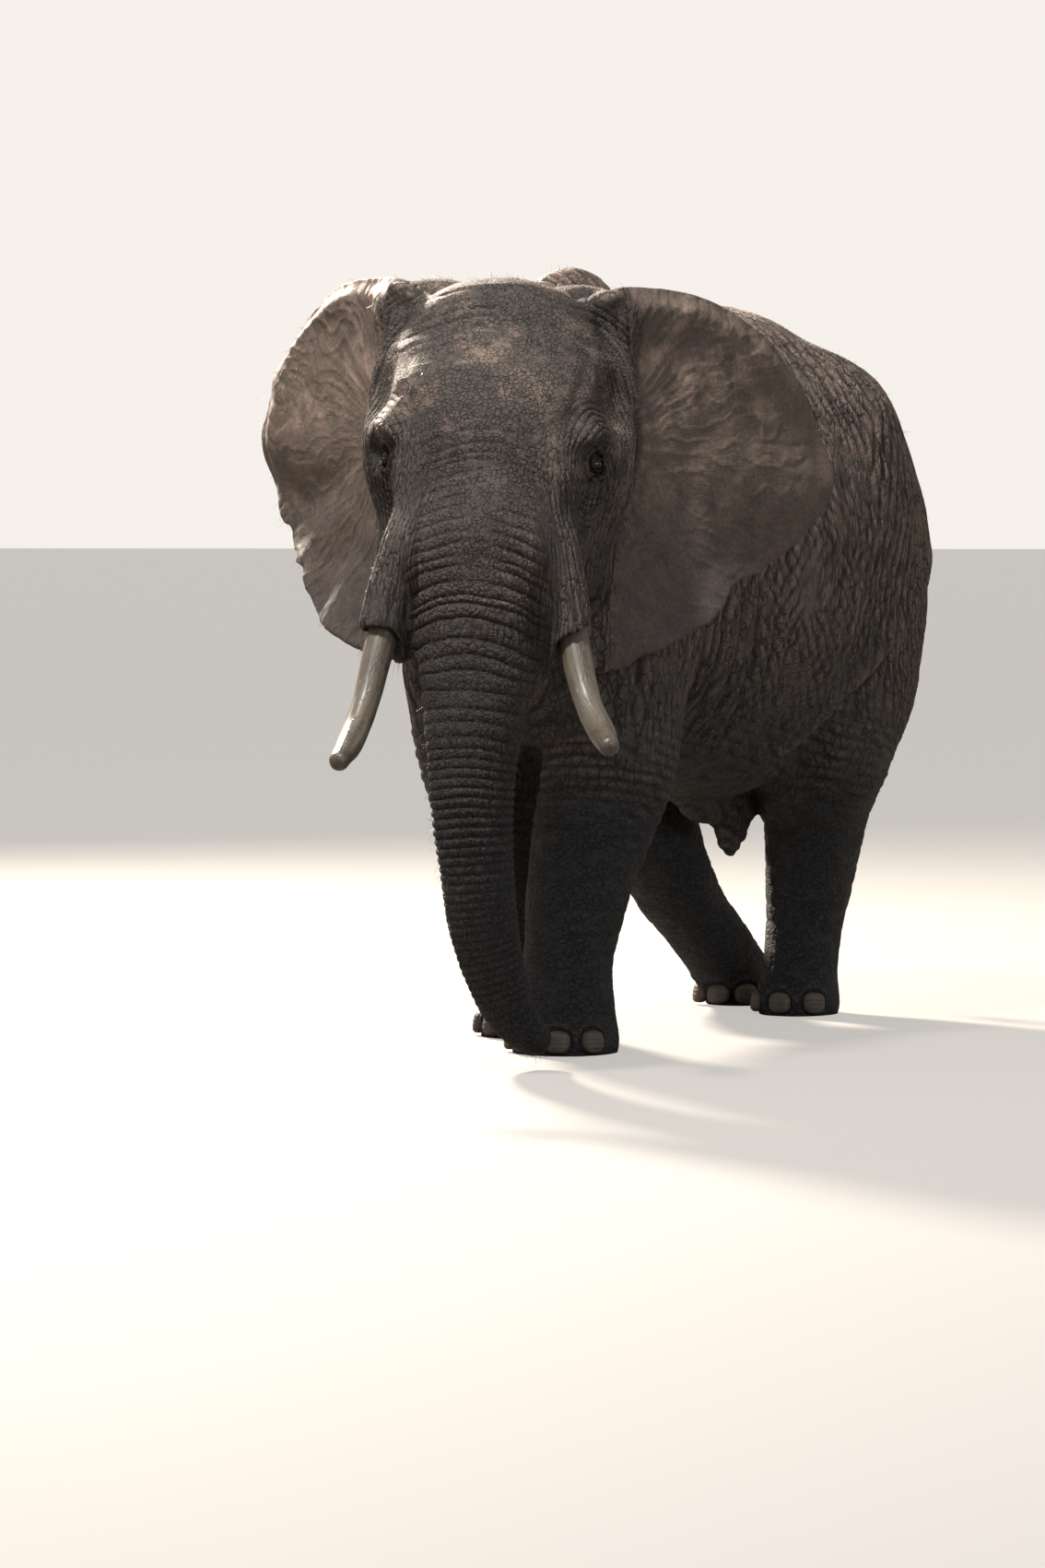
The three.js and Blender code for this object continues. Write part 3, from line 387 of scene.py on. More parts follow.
# Trunk stations: side, front, up, half width, half depth.
TRUNK_ROWS = [
    (4, 590, 2080, 300, 270), (12, 655, 1850, 262, 232), (18, 720, 1640, 234, 208), (20, 765, 1420, 202, 186),
    (22, 790, 1200, 175, 165), (36, 795, 1000, 160, 150), (60, 780, 820, 147, 140), (84, 750, 640, 142, 132),
    (120, 705, 475, 129, 120), (166, 650, 330, 114, 107), (222, 590, 215, 97, 92), (292, 528, 138, 76, 74),
]
trunk = Tube([head_point(*r[:3]) for r in TRUNK_ROWS], [(r[3], r[4], r[4]) for r in TRUNK_ROWS],
             across=-HEAD_LEFT, steps=60, blend=110, power=2.1)
trunk_shares = np.linspace(0, 1, trunk.steps + 1)
trunk_levels = np.interp(trunk_shares, np.linspace(0, 1, len(TRUNK_ROWS)), [r[2] for r in TRUNK_ROWS])
# Tail stations: x, y, z, radius.
TAIL_ROWS = [
    (0, 1650, 2560, 95), (0, 1790, 2440, 80), (4, 1858, 2220, 58),
    (8, 1868, 1900, 43), (6, 1862, 1560, 35), (0, 1860, 1230, 30),
]
tail = Tube([r[:3] for r in TAIL_ROWS], [(r[3],) * 3 for r in TAIL_ROWS], steps=24, blend=70)
HOLLOWS = [  # temples and eye sockets, with the softness of their rims
    *[(head_lump(s * 540, 215, 2760, (110, 150, 150), 0), 90) for s in BOTH],
    *[(head_lump(s * 492, 376, 2465, (62, 92, 62), 0), 50) for s in BOTH],
]
BODY = [*BARREL, neck, *legs.values(), *LEG_DETAILS]
FACE = [*HEAD_MASSES, *JAW, trunk]

# The ear's rim, unrolled: out from the root, up.
EAR_RIM = [
    (-140, 3110), (40, 3200), (310, 3212), (540, 3178), (750, 3098), (930, 2990), (1075, 2850), (1175, 2700),
    (1245, 2560), (1262, 2445), (1205, 2325), (1080, 2205), (935, 2090), (800, 2025), (660, 1955),
    (530, 1830), (340, 1735), (160, 1650), (30, 1610), (-50, 1640), (-90, 1760), (-95, 1940), (-90, 2200),
    (-90, 2500), (-85, 2800),
]
EAR_REACH = 1262.0
EAR_ROOT = (430, -60)  # to the head's side and front
EAR_CANAL_LEVEL = 2560


class Ear:
    """A curved sheet. Its own coordinates are out from the root, up, and off behind the sheet's middle."""

    step = 10.0
    blend = 70.0

    def __init__(self, s):
        self.s = s
        self.sweep = math.radians(45 if s > 0 else 56)
        self.droop = math.radians(0 if s > 0 else 4.5)
        rim = spline(EAR_RIM, closed=True)(np.arange(360) / 360)
        self.corner = rim.min(0) - 160
        n = np.ceil((rim.max(0) + 160 - self.corner) / self.step).astype(int) + 1
        g = grid_points(self.corner, n, self.step)
        far, inside = np.full(len(g), np.inf), np.zeros(len(g), bool)
        for p, q in zip(rim, np.roll(rim, -1, 0)):
            e = q - p
            h = np.clip(((g - p) @ e) / (e @ e), 0, 1)
            far = np.minimum(far, ((g - p - h[:, None] * e) ** 2).sum(1))
            if abs(e[1]) > 1e-9:
                spans = (p[1] > g[:, 1]) != (q[1] > g[:, 1])
                inside ^= spans & (g[:, 0] < e[0] * (g[:, 1] - p[1]) / e[1] + p[0])
        self.rim_grid = (np.where(inside, -1, 1) * np.sqrt(far)).reshape(n)
        ends = np.concatenate([self.sheet(o, u, w)[None] for o in (-100, 200, 500, 800, 1270)
                               for u in (1600, 2000, 2400, 2800, 3210) for w in (-150, 150)])
        self.low, self.high = ends.min(0) - 60, ends.max(0) + 60

    def curve(self, out, up):
        """The sheet's place at a level, outwards and backwards from the root, and its direction there."""
        start = self.sweep - math.radians(10) - math.radians(16) * smooth(2100 - up, 0, 500)
        start += self.droop * smooth(2600 - up, 0, 350)
        curl = math.radians(16) / EAR_REACH
        a = start + curl * out
        swing = 26 * np.clip(out / EAR_REACH, 0, 1) ** 1.5 * np.sin(up / 95 + self.s)
        swing += 34 * smooth(up, 2950, 3160)
        x, y = (np.sin(a) - np.sin(start)) / curl, (np.cos(start) - np.cos(a)) / curl
        return x + 0.25 * swing, y - swing - 0.10 * (2500 - up), a

    def sheet(self, out, up, off=0.0):
        x, y, a = self.curve(np.asarray(out, float), np.asarray(up, float))
        side, front = EAR_ROOT
        return head_point(self.s * (side + x - np.sin(a) * off), front - y - np.cos(a) * off, up)

    def coords(self, p):
        side, front, up = head_coords(p)
        wide, crease_shade = self.s * side - EAR_ROOT[0], EAR_ROOT[1] - front
        out = wide * math.cos(self.sweep) + crease_shade * math.sin(self.sweep)
        for _ in range(4):
            x, y, a = self.curve(out, up)
            out = out + (wide - x) * np.cos(a) + (crease_shade - y) * np.sin(a)
        x, y, a = self.curve(out, up)
        return out, up, -(wide - x) * np.sin(a) + (crease_shade - y) * np.cos(a)

    def edge(self, out, up):
        """Distance outside the rim, negative within it."""
        g, n = self.rim_grid, self.rim_grid.shape
        u = np.clip((out - self.corner[0]) / self.step, 0, n[0] - 1.001)
        v = np.clip((up - self.corner[1]) / self.step, 0, n[1] - 1.001)
        i, j = u.astype(int), v.astype(int)
        u, v = u - i, v - j
        return mix(mix(g[i, j], g[i + 1, j], u), mix(g[i, j + 1], g[i + 1, j + 1], u), v)

    def half(self, out):
        """Half the sheet's thickness."""
        return mix(34.0, 27.0, smooth(out, 0, 420))

    def field(self, p):
        out, up, off = self.coords(p)
        h = self.half(out)
        a, b = np.abs(off) - 0.1 * h, self.edge(out, up) + 0.9 * h
        return np.hypot(np.maximum(a, 0), np.maximum(b, 0)) + np.minimum(np.maximum(a, b), 0) - 0.9 * h


ears = {s: Ear(s) for s in BOTH}

# Tusk stations: side, front, up, and the share by which the two tusks' spread and droop differ there.
TUSK_ROWS = [
    (338, 540, 1960, 0),
    (394, 655, 1712, 0),
    (447, 800, 1488, 0.4),
    (500, 960, 1358, 0.8),
    (532, 1105, 1301, 1),
]
TUSK_RADII, TUSK_SPREAD, TUSK_DROP, TUSK_SHIFT = (62, 62, 54, 54, 41), 45, 54, 12
tusks = {s: Tube([head_point(s * side + TUSK_SHIFT + TUSK_SPREAD * w, front, up + s * TUSK_DROP * w)
                  for side, front, up, w in TUSK_ROWS],
                 [(r, r, r) for r in TUSK_RADII], across=HEAD_LEFT, steps=64) for s in BOTH}

# Feet: middle of the sole, radius to the nails' middles, and where each nail stands round it, in degrees.
FEET = {
    "forefoot_left": ((262, -1040), 228, (-58, -20, 20, 58)),
    "forefoot_right": ((-250, -400), 228, (-58, -20, 20, 58)),
    "hind_foot_left": ((244, 1205), 196, (-46, 0, 46)),
    "hind_foot_right": ((-240, 1510), 166, (-46, 0, 46)),
}
NAIL_LEVEL, NAIL_HALF = 62, 50  # the middle's height, and half a nail's own height


def nails_of(foot):
    """Each nail's middle, its turn about the foot, and its half width."""
    (x, y), radius, turns = FEET[foot]
    for degrees in turns:
        a = math.radians(degrees)
        middle = np.array([x + radius * math.sin(a), y - radius * math.cos(a), NAIL_LEVEL])
        yield middle, a, 46 + 8 * math.cos(a)


def near_mask(p, points, reach):
    """Which of p lie within reach of the box round the points."""
    return ((p > points.min(0) - reach) & (p < points.max(0) + reach)).all(1)


def flesh(p):
    """Distance outside the whole animal's surface."""
    d = union(BODY, p)
    near = np.flatnonzero(p[:, 1] < -340)
    if len(near):
        q = p[near]
        f = union(FACE, q)
        for m, soft in HOLLOWS:
            i = near_box(q, m, soft)
            if len(i):
                e = -m.field(q[i])
                h = np.maximum(soft - np.abs(f[i] - e), 0) / soft
                f[i] = np.maximum(f[i], e) + h * h * soft * 0.25
        d[near] = soft_min(d[near], f, 150.0)
    return union((*ears.values(), tail), p, d)


# ---- meshing
def wrap(field, low, high, cell, block=4):
    """Quads round the field's surface, with one vertex for each small cube that the surface crosses."""
    low = np.asarray(low, float)
    coarse = cell * block
    n = np.ceil((np.asarray(high) - low) / coarse).astype(int) + 1
    g = grid_points(low, n, coarse)
    rough = np.concatenate([field(c) for c in np.array_split(g, max(1, len(g) // 100000))]).reshape(n)
    close = np.abs(rough) < coarse * 1.15
    ends = [slice(None, -1), slice(1, None)]
    corners = list(product(ends, repeat=3))
    hot = np.argwhere(np.logical_or.reduce([close[c] for c in corners]))
    value = np.where(rough[:-1, :-1, :-1] < 0, -500, 500).astype(np.float32)
    for axis in range(3):
        value = np.repeat(value, block, axis)
    inner = grid_points((0, 0, 0), (block,) * 3, 1)
    for part in np.array_split(hot, max(1, len(hot) // 3000)):
        ids = (part[:, None] * block + inner).reshape(-1, 3)
        value[ids[:, 0], ids[:, 1], ids[:, 2]] = field(low + ids * cell)
    count = sum((value < 0)[c].astype(np.uint8) for c in corners)
    active = np.flatnonzero(((count > 0) & (count < 8)).ravel())
    ijk = np.stack(np.unravel_index(active, count.shape), -1)
    corner = np.array(list(product((0, 1), repeat=3)))
    v = np.stack([value[tuple((ijk + o).T)] for o in corner], 1).astype(float)
    total, number = np.zeros((len(active), 3)), np.zeros(len(active))
    for a in range(8):
        for b in range(a + 1, 8):
            if np.abs(corner[a] - corner[b]).sum() == 1:
                cut = (v[:, a] < 0) != (v[:, b] < 0)
                t = v[cut, a] / (v[cut, a] - v[cut, b])
                total[cut] += corner[a] + t[:, None] * (corner[b] - corner[a])
                number[cut] += 1
    stride = np.array([count.shape[1] * count.shape[2], count.shape[2], 1])
    quads = []
    for axis, far in ((0, 4), (1, 2), (2, 1)):
        one, two = stride[(axis + 1) % 3], stride[(axis + 2) % 3]
        cut = (v[:, 0] < 0) != (v[:, far] < 0)
        base = active[cut]
        ring = np.stack([base - one - two, base - two, base, base - one], 1)
        flip = v[cut, 0] >= 0
        ring[flip] = ring[flip][:, ::-1]
        quads.append(np.searchsorted(active, ring))
    return low + (ijk + total / number[:, None]) * cell, np.concatenate(quads)


class Skin:
    """A mesh as arrays: points, and quads with a few many-sided faces where fine meets coarse."""

    def __init__(self, points, quads):
        self.co, self.quads, self.rest = points, quads, []
        self.base = points  # the resting shape, before folds and wrinkles

    def loops(self):
        sizes = np.concatenate([np.full(len(self.quads), 4), np.array([len(f) for f in self.rest], int)])
        flat = np.concatenate([self.quads.ravel(), np.array([i for f in self.rest for i in f], int)])
        return flat.astype(np.int32), sizes

    def edges(self):
        e = self.quads[:, [0, 1, 1, 2, 2, 3, 3, 0]].reshape(-1, 2)
        more = [(f[i - 1], f[i]) for f in self.rest for i in range(len(f))]
        if more:
            e = np.concatenate([e, np.array(more)])
        return np.unique(np.sort(e, 1), axis=0)

    def sums(self, index, values):
        return np.stack([np.bincount(index, values[:, i], len(self.co)) for i in range(values.shape[1])], 1)

    def normals(self):
        a, b, c, d = (self.co[self.quads[:, i]] for i in range(4))
        n = np.cross(c - a, d - b)
        total = self.sums(self.quads.ravel(), np.repeat(n, 4, 0))
        for f in self.rest:
            q = self.co[list(f)]
            total[list(f)] += np.cross(q, np.roll(q, -1, 0)).sum(0)
        return unit(total)

    def drawn(self, points, steps):
        """The points after steps that draw each one by a share towards the middle of its neighbours."""
        e = self.edges()
        both = np.concatenate([e, e[:, ::-1]])
        degree = np.maximum(np.bincount(both[:, 0], minlength=len(points)), 1)[:, None]
        for share in steps:
            points = points + share * (self.sums(both[:, 0], points[both[:, 1]]) / degree - points)
        return points

    def settle(self, field, limit):
        """Moves each point onto the field's surface, by no more than the limit."""
        n = self.normals()
        d = np.concatenate([field(c) for c in np.array_split(self.co, max(1, len(self.co) // 100000))])
        self.co = self.co - n * np.clip(d, -limit, limit)[:, None]
        self.base = self.co

    def refine(self, chosen):
        """Splits the chosen quads in four, rounding the new points as a subdivision surface does."""
        self.co = np.hstack([self.co, self.base])
        q, kept = self.quads[chosen], self.quads[~chosen]
        n = len(self.co)
        pairs = np.stack([q, np.roll(q, -1, 1)], -1).reshape(-1, 2)
        key = np.sort(pairs, 1)
        key = key[:, 0].astype(np.int64) * n + key[:, 1]
        unique, inverse, uses = np.unique(key, return_inverse=True, return_counts=True)
        ends = np.stack([unique // n, unique % n], 1)
        centre = self.co[q].mean(1)
        face_of_edge = np.repeat(np.arange(len(q)), 4)
        across = np.stack([np.bincount(inverse, centre[face_of_edge, i], len(unique)) for i in range(6)], 1)
        middle = self.co[ends].mean(1)
        inner = uses == 2
        edge_point = middle.copy()
        edge_point[inner] = (middle[inner] + across[inner] / 2) / 2
        # old points move only where every face round them is split
        valence = np.bincount(self.quads.ravel(), minlength=n)
        split = np.bincount(q.ravel(), minlength=n)
        rim = np.zeros(n, bool)
        rim[ends[~inner].ravel()] = True
        free = (split > 0) & (split == valence) & ~rim
        for f in self.rest:
            free[list(f)] = False
        face_mean = self.sums(q.ravel(), np.repeat(centre, 4, 0)) / np.maximum(split, 1)[:, None]
        edge_count = np.bincount(ends.ravel(), minlength=n)
        edge_mean = self.sums(ends.ravel(), np.repeat(middle, 2, 0)) / np.maximum(edge_count, 1)[:, None]
        m = np.maximum(edge_count, 3)[:, None]
        moved = (face_mean + 2 * edge_mean + (m - 3) * self.co) / m
        self.co = np.where(free[:, None], moved, self.co)
        e = inverse.reshape(-1, 4) + n
        c = np.arange(len(q)) + n + len(unique)
        new = np.stack([np.stack([q[:, i], e[:, i], c, e[:, i - 1]], 1) for i in range(4)], 1).reshape(-1, 4)
        # faces beside the split ones take the new points into their own borders
        edge_of = dict(zip(unique[~inner].tolist(), (np.flatnonzero(~inner) + n).tolist()))
        touched = rim[kept].sum(1) >= 2
        plain, beside = kept[~touched], [tuple(f) for f in kept[touched].tolist()] + self.rest
        quads, rest = [plain, new], []
        extra = []
        for f in beside:
            out = []
            for i, a in enumerate(f):
                b = f[(i + 1) % len(f)]
                out.append(a)
                found = edge_of.get(min(a, b) * n + max(a, b))
                if found is not None:
                    out.append(found)
            (extra if len(out) == 4 else rest).append(tuple(out))
        if extra:
            quads.append(np.array(extra))
        self.co = np.concatenate([self.co, edge_point, centre])
        self.co, self.base = self.co[:, :3], self.co[:, 3:]
        self.quads, self.rest = np.concatenate(quads), rest


def add_object(name, data):
    thing = bpy.data.objects.new(name, data)
    bpy.context.scene.collection.objects.link(thing)
    return thing


def solid(name, points, flat, sizes):
    """A mesh object of points in the animal's frame, all faces' corners in a row, and each face's size."""
    mesh = bpy.data.meshes.new(name)
    mesh.vertices.add(len(points))
    mesh.vertices.foreach_set("co", placed(points).astype(np.float32).ravel())
    mesh.loops.add(len(flat))
    mesh.loops.foreach_set("vertex_index", np.asarray(flat, np.int32))
    mesh.polygons.add(len(sizes))
    mesh.polygons.foreach_set("loop_start", np.concatenate([[0], np.cumsum(sizes)[:-1]]).astype(np.int32))
    mesh.update(calc_edges=True)
    mesh.shade_smooth()
    return add_object(name, mesh)


# ---- where each point of the hide lies
def creased(level, stops, warp):
    """Each level's distance from the nearest crease, with its roll's fullness, width and number."""
    level = level + warp
    i = np.clip(np.searchsorted(-stops, -level) - 1, 0, len(stops) - 2)
    gap = stops[i] - stops[i + 1]
    u = np.clip((stops[i] - level) / gap, 0, 1)
    return np.minimum(u, 1 - u) * gap, np.sqrt(np.maximum(4 * u * (1 - u), 0)), gap, i


TRUNK_CREASES = np.concatenate([
    [2700, 2640, 2590, 2532, 2490, 2462, 2414, 2370, 2325, 2284, 2229, 2180, 2130, 2081],
    [2044, 1985, 1925, 1896, 1835, 1755, 1690, 1626, 1530, 1448, 1396, 1340, 1296, 1260],
    1260 - 36 * np.arange(1, 16), 720 - 29 * np.arange(1, 32)]).astype(float)


class Places:
    """Named directions and shares of the body for every point of a mesh."""

    def __init__(self, p):
        self.side, self.front, self.up = head_coords(p)
        n = len(p)
        self.d_face, self.d_body = union(FACE, p), union(BODY, p)
        self.head = (1 - smooth(self.d_face, 12, 75)) * smooth(self.d_body - self.d_face, -120, 60)
        # trunk
        self.trunk, self.across, self.facing = np.zeros((3, n))
        self.level = self.up.copy()
        i = np.flatnonzero((self.up < 2200) & (self.d_face < 90))
        t, self.across[i], self.facing[i], *_ = trunk.coords(p[i])
        self.trunk[i] = (1 - smooth(trunk.field(p[i]), 8, 45)) * smooth(t, 0.0, 0.06)
        centre_level = np.interp(t, trunk_shares, trunk_levels)
        self.level[i] = mix(self.up[i], centre_level, smooth(1640 - self.up[i], 0, 260) * self.trunk[i])
        self.head *= 1 - self.trunk * smooth(1700 - self.up, 0, 300)
        # ears
        self.ear, self.out, self.high, self.off = np.zeros((4, n))
        self.rim, self.ear_side = np.full(n, 999.0), np.zeros(n, int)
        for s, ear in ears.items():
            i = near_box(p, ear)
            i = i[self.side[i] * s > 250]
            out, up, off = ear.coords(p[i])
            rim = ear.edge(out, up)
            w = smooth(np.minimum(self.d_face[i], self.d_body[i]), 10, 70) * smooth(out, 30, 120)
            w *= (1 - smooth(np.abs(off), 50, 90)) * (1 - smooth(rim, 40, 70))
            j = w > self.ear[i]
            k = i[j]
            self.ear[k], self.out[k], self.high[k], self.off[k] = w[j], out[j], up[j], off[j]
            self.rim[k], self.ear_side[k] = rim[j], s
        self.head *= 1 - self.ear
        # legs
        self.leg, self.leg_number = np.zeros(n), np.zeros(n, int)
        for number, (name, tube) in enumerate(legs.items()):
            i = near_box(p, tube)
            i = i[(p[i, 2] < 1750) & (p[i, 0] * (1 if "left" in name else -1) > 0)]
            w = (1 - smooth(tube.field(p[i]), 10, 60)) * (1 - smooth(p[i, 2], 1150, 1600))
            w *= (1 - self.trunk[i]) * (self.d_face[i] > 60)
            j = w > self.leg[i]
            self.leg[i[j]], self.leg_number[i[j]] = w[j], number
        self.tail = (1 - smooth(tail.field(p), 5, 40)) * smooth(p[:, 1], 1600, 1760)
        self.torso = np.clip(1 - self.head - self.ear - self.trunk - self.leg - self.tail, 0, 1)


# ---- the hide's forms, first the large ones
def large_forms(p, at):
    """Folds and hollows of the body wider than a hand, as movement along the surface's own direction."""
    x, y, z = p.T
    move = np.zeros(len(p))
    flank = at.torso * smooth(np.abs(x), 250, 520)
    # long upright folds behind the shoulder
    w = flank * bell(y + 130, 480) * bell(z - 1600, 560)
    lines = y + 60 * noise(p, 420, 3) + 0.12 * z
    move += w * (17 * smooth(wave(lines, 118), 0.0, 0.6) - 13 + 4 * noise(p, 160, 4))
    # the groove behind the shoulder, where the upper arm lies on the ribs
    w = flank * smooth(z, 1150, 1500) * (1 - smooth(z, 2400, 2800))
    move -= 26 * w * bell(y + 395 + 0.10 * (z - 1900), 85)
    # faint ribs
    w = flank * smooth(y, -250, 0) * (1 - smooth(y, 620, 900))
    w *= smooth(z, 1500, 1800) * (1 - smooth(z, 2500, 2850))
    move += 5 * w * np.sin((y - 0.25 * z) / 24)
    # hollow before the hip, hip bone
    move -= 30 * flank * bell(y - 790, 190) * bell(z - 2480, 260)
    move += 14 * flank * bell(y - 1080, 170) * bell(z - 2650, 190)
    # the fold of skin from belly to thigh
    line = ((y - 360) - 1.23 * (z - 1030) + 25 * noise(p, 300, 9)) / 1.58
    w = smooth(np.abs(x), 330, 500) * smooth(z, 980, 1100) * (1 - smooth(z, 1750, 2150)) * (at.torso + at.leg)
    move += w * (24 * bell(line + 48, 52) - 40 * bell(line - 16, 30) - 34 * bell(line - 95, 90))
    # belly: slack cross folds
    w = at.torso * (1 - smooth(z, 1250, 1600)) * smooth(y, -300, 0)
    move += 6.5 * w * noise(np.stack([x * 0.5, y * 0.7, z * 2.2], 1), 120, 8)
    # spine ridge
    move += 16 * at.torso * bell(x, 70) * smooth(z, 2850, 2980) * smooth(y, -300, 0)
    # slack skin on the hind legs and behind the elbows
    folds = wave(z + 40 * noise(p, 260, 5), 88)
    move += at.leg * smooth(z, 250, 420) * (2.6 * smooth(folds, 0.0, 0.5) - 1.6)
    # neck: upright folds between the ear and the shoulder
    w = at.torso * smooth(-y, 820, 1000) * smooth(np.abs(x), 200, 380)
    folds = wave(y * 0.9 + 0.3 * np.abs(x) + 60 * noise(p, 300, 6), 92)
    move += w * (10 * smooth(folds, 0.0, 0.6) - 7)
    # soft unevenness of the whole hide
    move += (1 - at.ear) * (5 * noise(p, 420, 11) + 2.2 * noise(p, 150, 12))
    return move


def head_forms(at):
    """Hollows and ridges of the head, as movement along the surface's own direction."""
    move = np.zeros(len(at.side))
    s_side = np.abs(at.side)
    # a shallow dent on the right of the forehead
    move -= 7 * at.head * bell(at.side + 165, 45) * bell(at.up - 2805, 45)
    # inner temple line running down to the eye
    line = s_side - (335 + 0.22 * (at.up - 2650))
    w = at.head * smooth(at.up, 2560, 2700) * (1 - smooth(at.up, 2800, 2950)) * (at.front > 150)
    move -= 10 * w * bell(line, 26)
    # brow roll over the eye, and the ridge that climbs from it over the forehead
    line = at.up - (2560 + 0.35 * (s_side - 400))
    move += 13 * at.head * bell(line, 30) * bell(s_side - 400, 75) * (at.front > 200)
    line = (s_side - 360) * 0.75 + (at.up - 2710) * 0.66
    along = (at.up - 2710) * 0.75 - (s_side - 360) * 0.66
    ridge = at.head * bell(along + 15, 66) * (at.front > 100) * np.where(at.side < 0, 1.0, 0.35)
    move += ridge * (8 * bell(line + 14, 26) - 9 * bell(line - 28, 24))
    # between tusk sheath and trunk root: skin stretched across higher up, a groove lower down
    line = s_side - (258 - 0.08 * (at.up - 1900))
    w = at.head * smooth(2330 - at.up, 0, 300) * (1 - smooth(1800 - at.up, 60, 160)) * (at.front > 450)
    move += w * 25 * bell(line, 50) * smooth(at.up, 1930, 2060)
    move -= w * 24 * bell(line, 30) * (1 - smooth(at.up, 1880, 1990))
    # the hollow under each eye
    move -= 15 * at.head * bell(at.up - 2270, 90) * bell(s_side - 345, 60) * (at.front > 330)
    # a deep fold behind the cheek, before the ear
    line = at.front + 30 - 60 * smooth(at.up, 2500, 2900)
    move -= 24 * at.head * bell(line, 34) * smooth(s_side, 360, 430) * smooth(at.up, 2050, 2250)
    # mouth line, from its corner forward under the tusk
    line = at.up - (1862 - 0.24 * (at.front - 200))
    w = at.head * (at.front > 40) * (at.front < 560) * smooth(s_side, 120, 200) * (1 - at.trunk)
    move -= 30 * w * bell(line, 20)
    move += 12 * w * bell(line + 52, 34)
    return move


def ear_fan(out, up):
    """The turn about the ear's canal, and the distance from it."""
    return np.arctan2(up - EAR_CANAL_LEVEL, out + 60), np.hypot(out, up - EAR_CANAL_LEVEL)


def reshape_ears(skin):
    """Thins the ears, scallops their rims, folds them and raises their veins."""
    at = Places(skin.co)
    for s, ear in ears.items():
        i = np.flatnonzero((at.ear > 0.003) & (at.ear_side == s))
        out, up, off, w, rim = at.out[i], at.high[i], at.off[i], at.ear[i], at.rim[i]
        flat = np.stack([out, up, np.full(len(i), 50.0 * s)], 1)
        # ragged rim
        du = (ear.edge(out + 8, up) - ear.edge(out - 8, up)) / 16
        dv = (ear.edge(out, up + 8) - ear.edge(out, up - 8)) / 16
        around = np.arctan2(up - 2400, out - 380)
        low_edge = smooth(-around, -0.2, 0.4) + 0.25
        notches = smooth(np.abs(noise(flat, 130, 23)), 0.4, 0.8)
        ragged = 11 * noise(flat, 90, 21) + 8 * noise(flat, 42, 22) - 14 * notches
        shift = w * smooth(rim, -70, 0) * ragged * low_edge * (1.0 if s < 0 else 0.6)
        out, up = out + du * shift, up + dv * shift
        # thickness
        half = mix(23.0, 7.5, smooth(out, 60, 520))
        thin = off * mix(1.0, half / ear.half(out), w)
        face = np.clip(-off / 20, -1, 1)  # +1 on the front
        # folds that both faces share
        turn, reach = ear_fan(out, up)
        share = smooth(reach, 250, 900)
        ripple = np.sin(turn * (11 if s > 0 else 13) + 2.2 * noise(flat, 520, 24))
        fold = (14 if s > 0 else 22) * share * ripple * (0.35 + 0.65 * smooth(-turn, -0.5, 0.5))
        fold += smooth(reach, 150, 500) * (13 * noise(flat, 210, 25) + 7 * noise(flat, 95, 26))
        upper = smooth(around, 0.35, 0.8) * (1 - smooth(around, 2.2, 2.7))
        fold += 62 * upper * smooth(rim, -115, -5) ** 1.6  # the top edge rolls back
        fold += (34 if s < 0 else 14) * smooth(out, 1020, 1180) ** 1.5 * smooth(up, 2200, 2400)
        # veins and creases that fan out from the root, on each face
        fan = turn * 9 + 1.6 * noise(flat, 240, 27) + 0.5 * noise(flat, 90, 28)
        vein = smooth(wave(fan, 1), 0.62, 1.0) * smooth(reach, 130, 300) * (1 - smooth(reach, 850, 1150))
        crease = groove(wave(turn + 0.05 * noise(flat, 130, 36), 0.075), 0.5) * smooth(reach, 250, 420)
        crease *= smooth(noise(flat, 190, 37), -0.3, 0.5)
        raised = face * w * (5.0 * vein - 4.5 * crease - 1.2 * noise(flat, 30, 30))
        new = ear.sheet(out, up, thin + w * fold - raised)
        skin.co[i] = mix(skin.co[i], new, smooth(w, 0.003, 0.25)[:, None])
    return at


def part_lips(skin):
    """Rolls the lip of each sheath back from its tusk, so that the tusk comes out of a pocket."""
    for tusk in tusks.values():
        i = np.flatnonzero(near_mask(skin.co, tusk.at[:24], 190))
        *_, reach = tusk.coords(skin.co[i])
        tangent = unit(tusk.at[12] - tusk.at[4])
        mouth = (skin.co[i] - tusk.at[8]) @ tangent
        lip = smooth(mouth, -60, 20)
        outward = unit(skin.co[i] - tusk.at[8] - mouth[:, None] * tangent)
        gap = reach - TUSK_RADII[0]
        skin.co[i] += (lip * (13 * bell(gap - 34, 20) - 60 * (1 - smooth(gap, 2, 24))))[:, None] * tangent
        skin.co[i] += (lip * 9 * bell(gap - 30, 22))[:, None] * outward


def bed_nails(skin):
    """Sinks a bed round every nail and raises the skin above it."""
    for foot in FEET:
        for where, turn, wide in nails_of(foot):
            i = np.flatnonzero(np.abs(skin.co - where).max(1) < 120)
            q = skin.co[i] - where
            c, n = math.cos(turn), math.sin(turn)
            across, out, up = q[:, 0] * c + q[:, 1] * n, q[:, 0] * n - q[:, 1] * c, q[:, 2]
            ring = (np.hypot(across / wide, up / NAIL_HALF) - 1) * 48
            push = 7 * bell(ring - 22, 12) * smooth(up, -20, 30) - 9 * bell(ring - 4, 7) - 6 * (ring < 0)
            skin.co[i] += (smooth(out, -40, 0) * push)[:, None] * [n, -c, 0]


EYE_RADIUS = 33.0


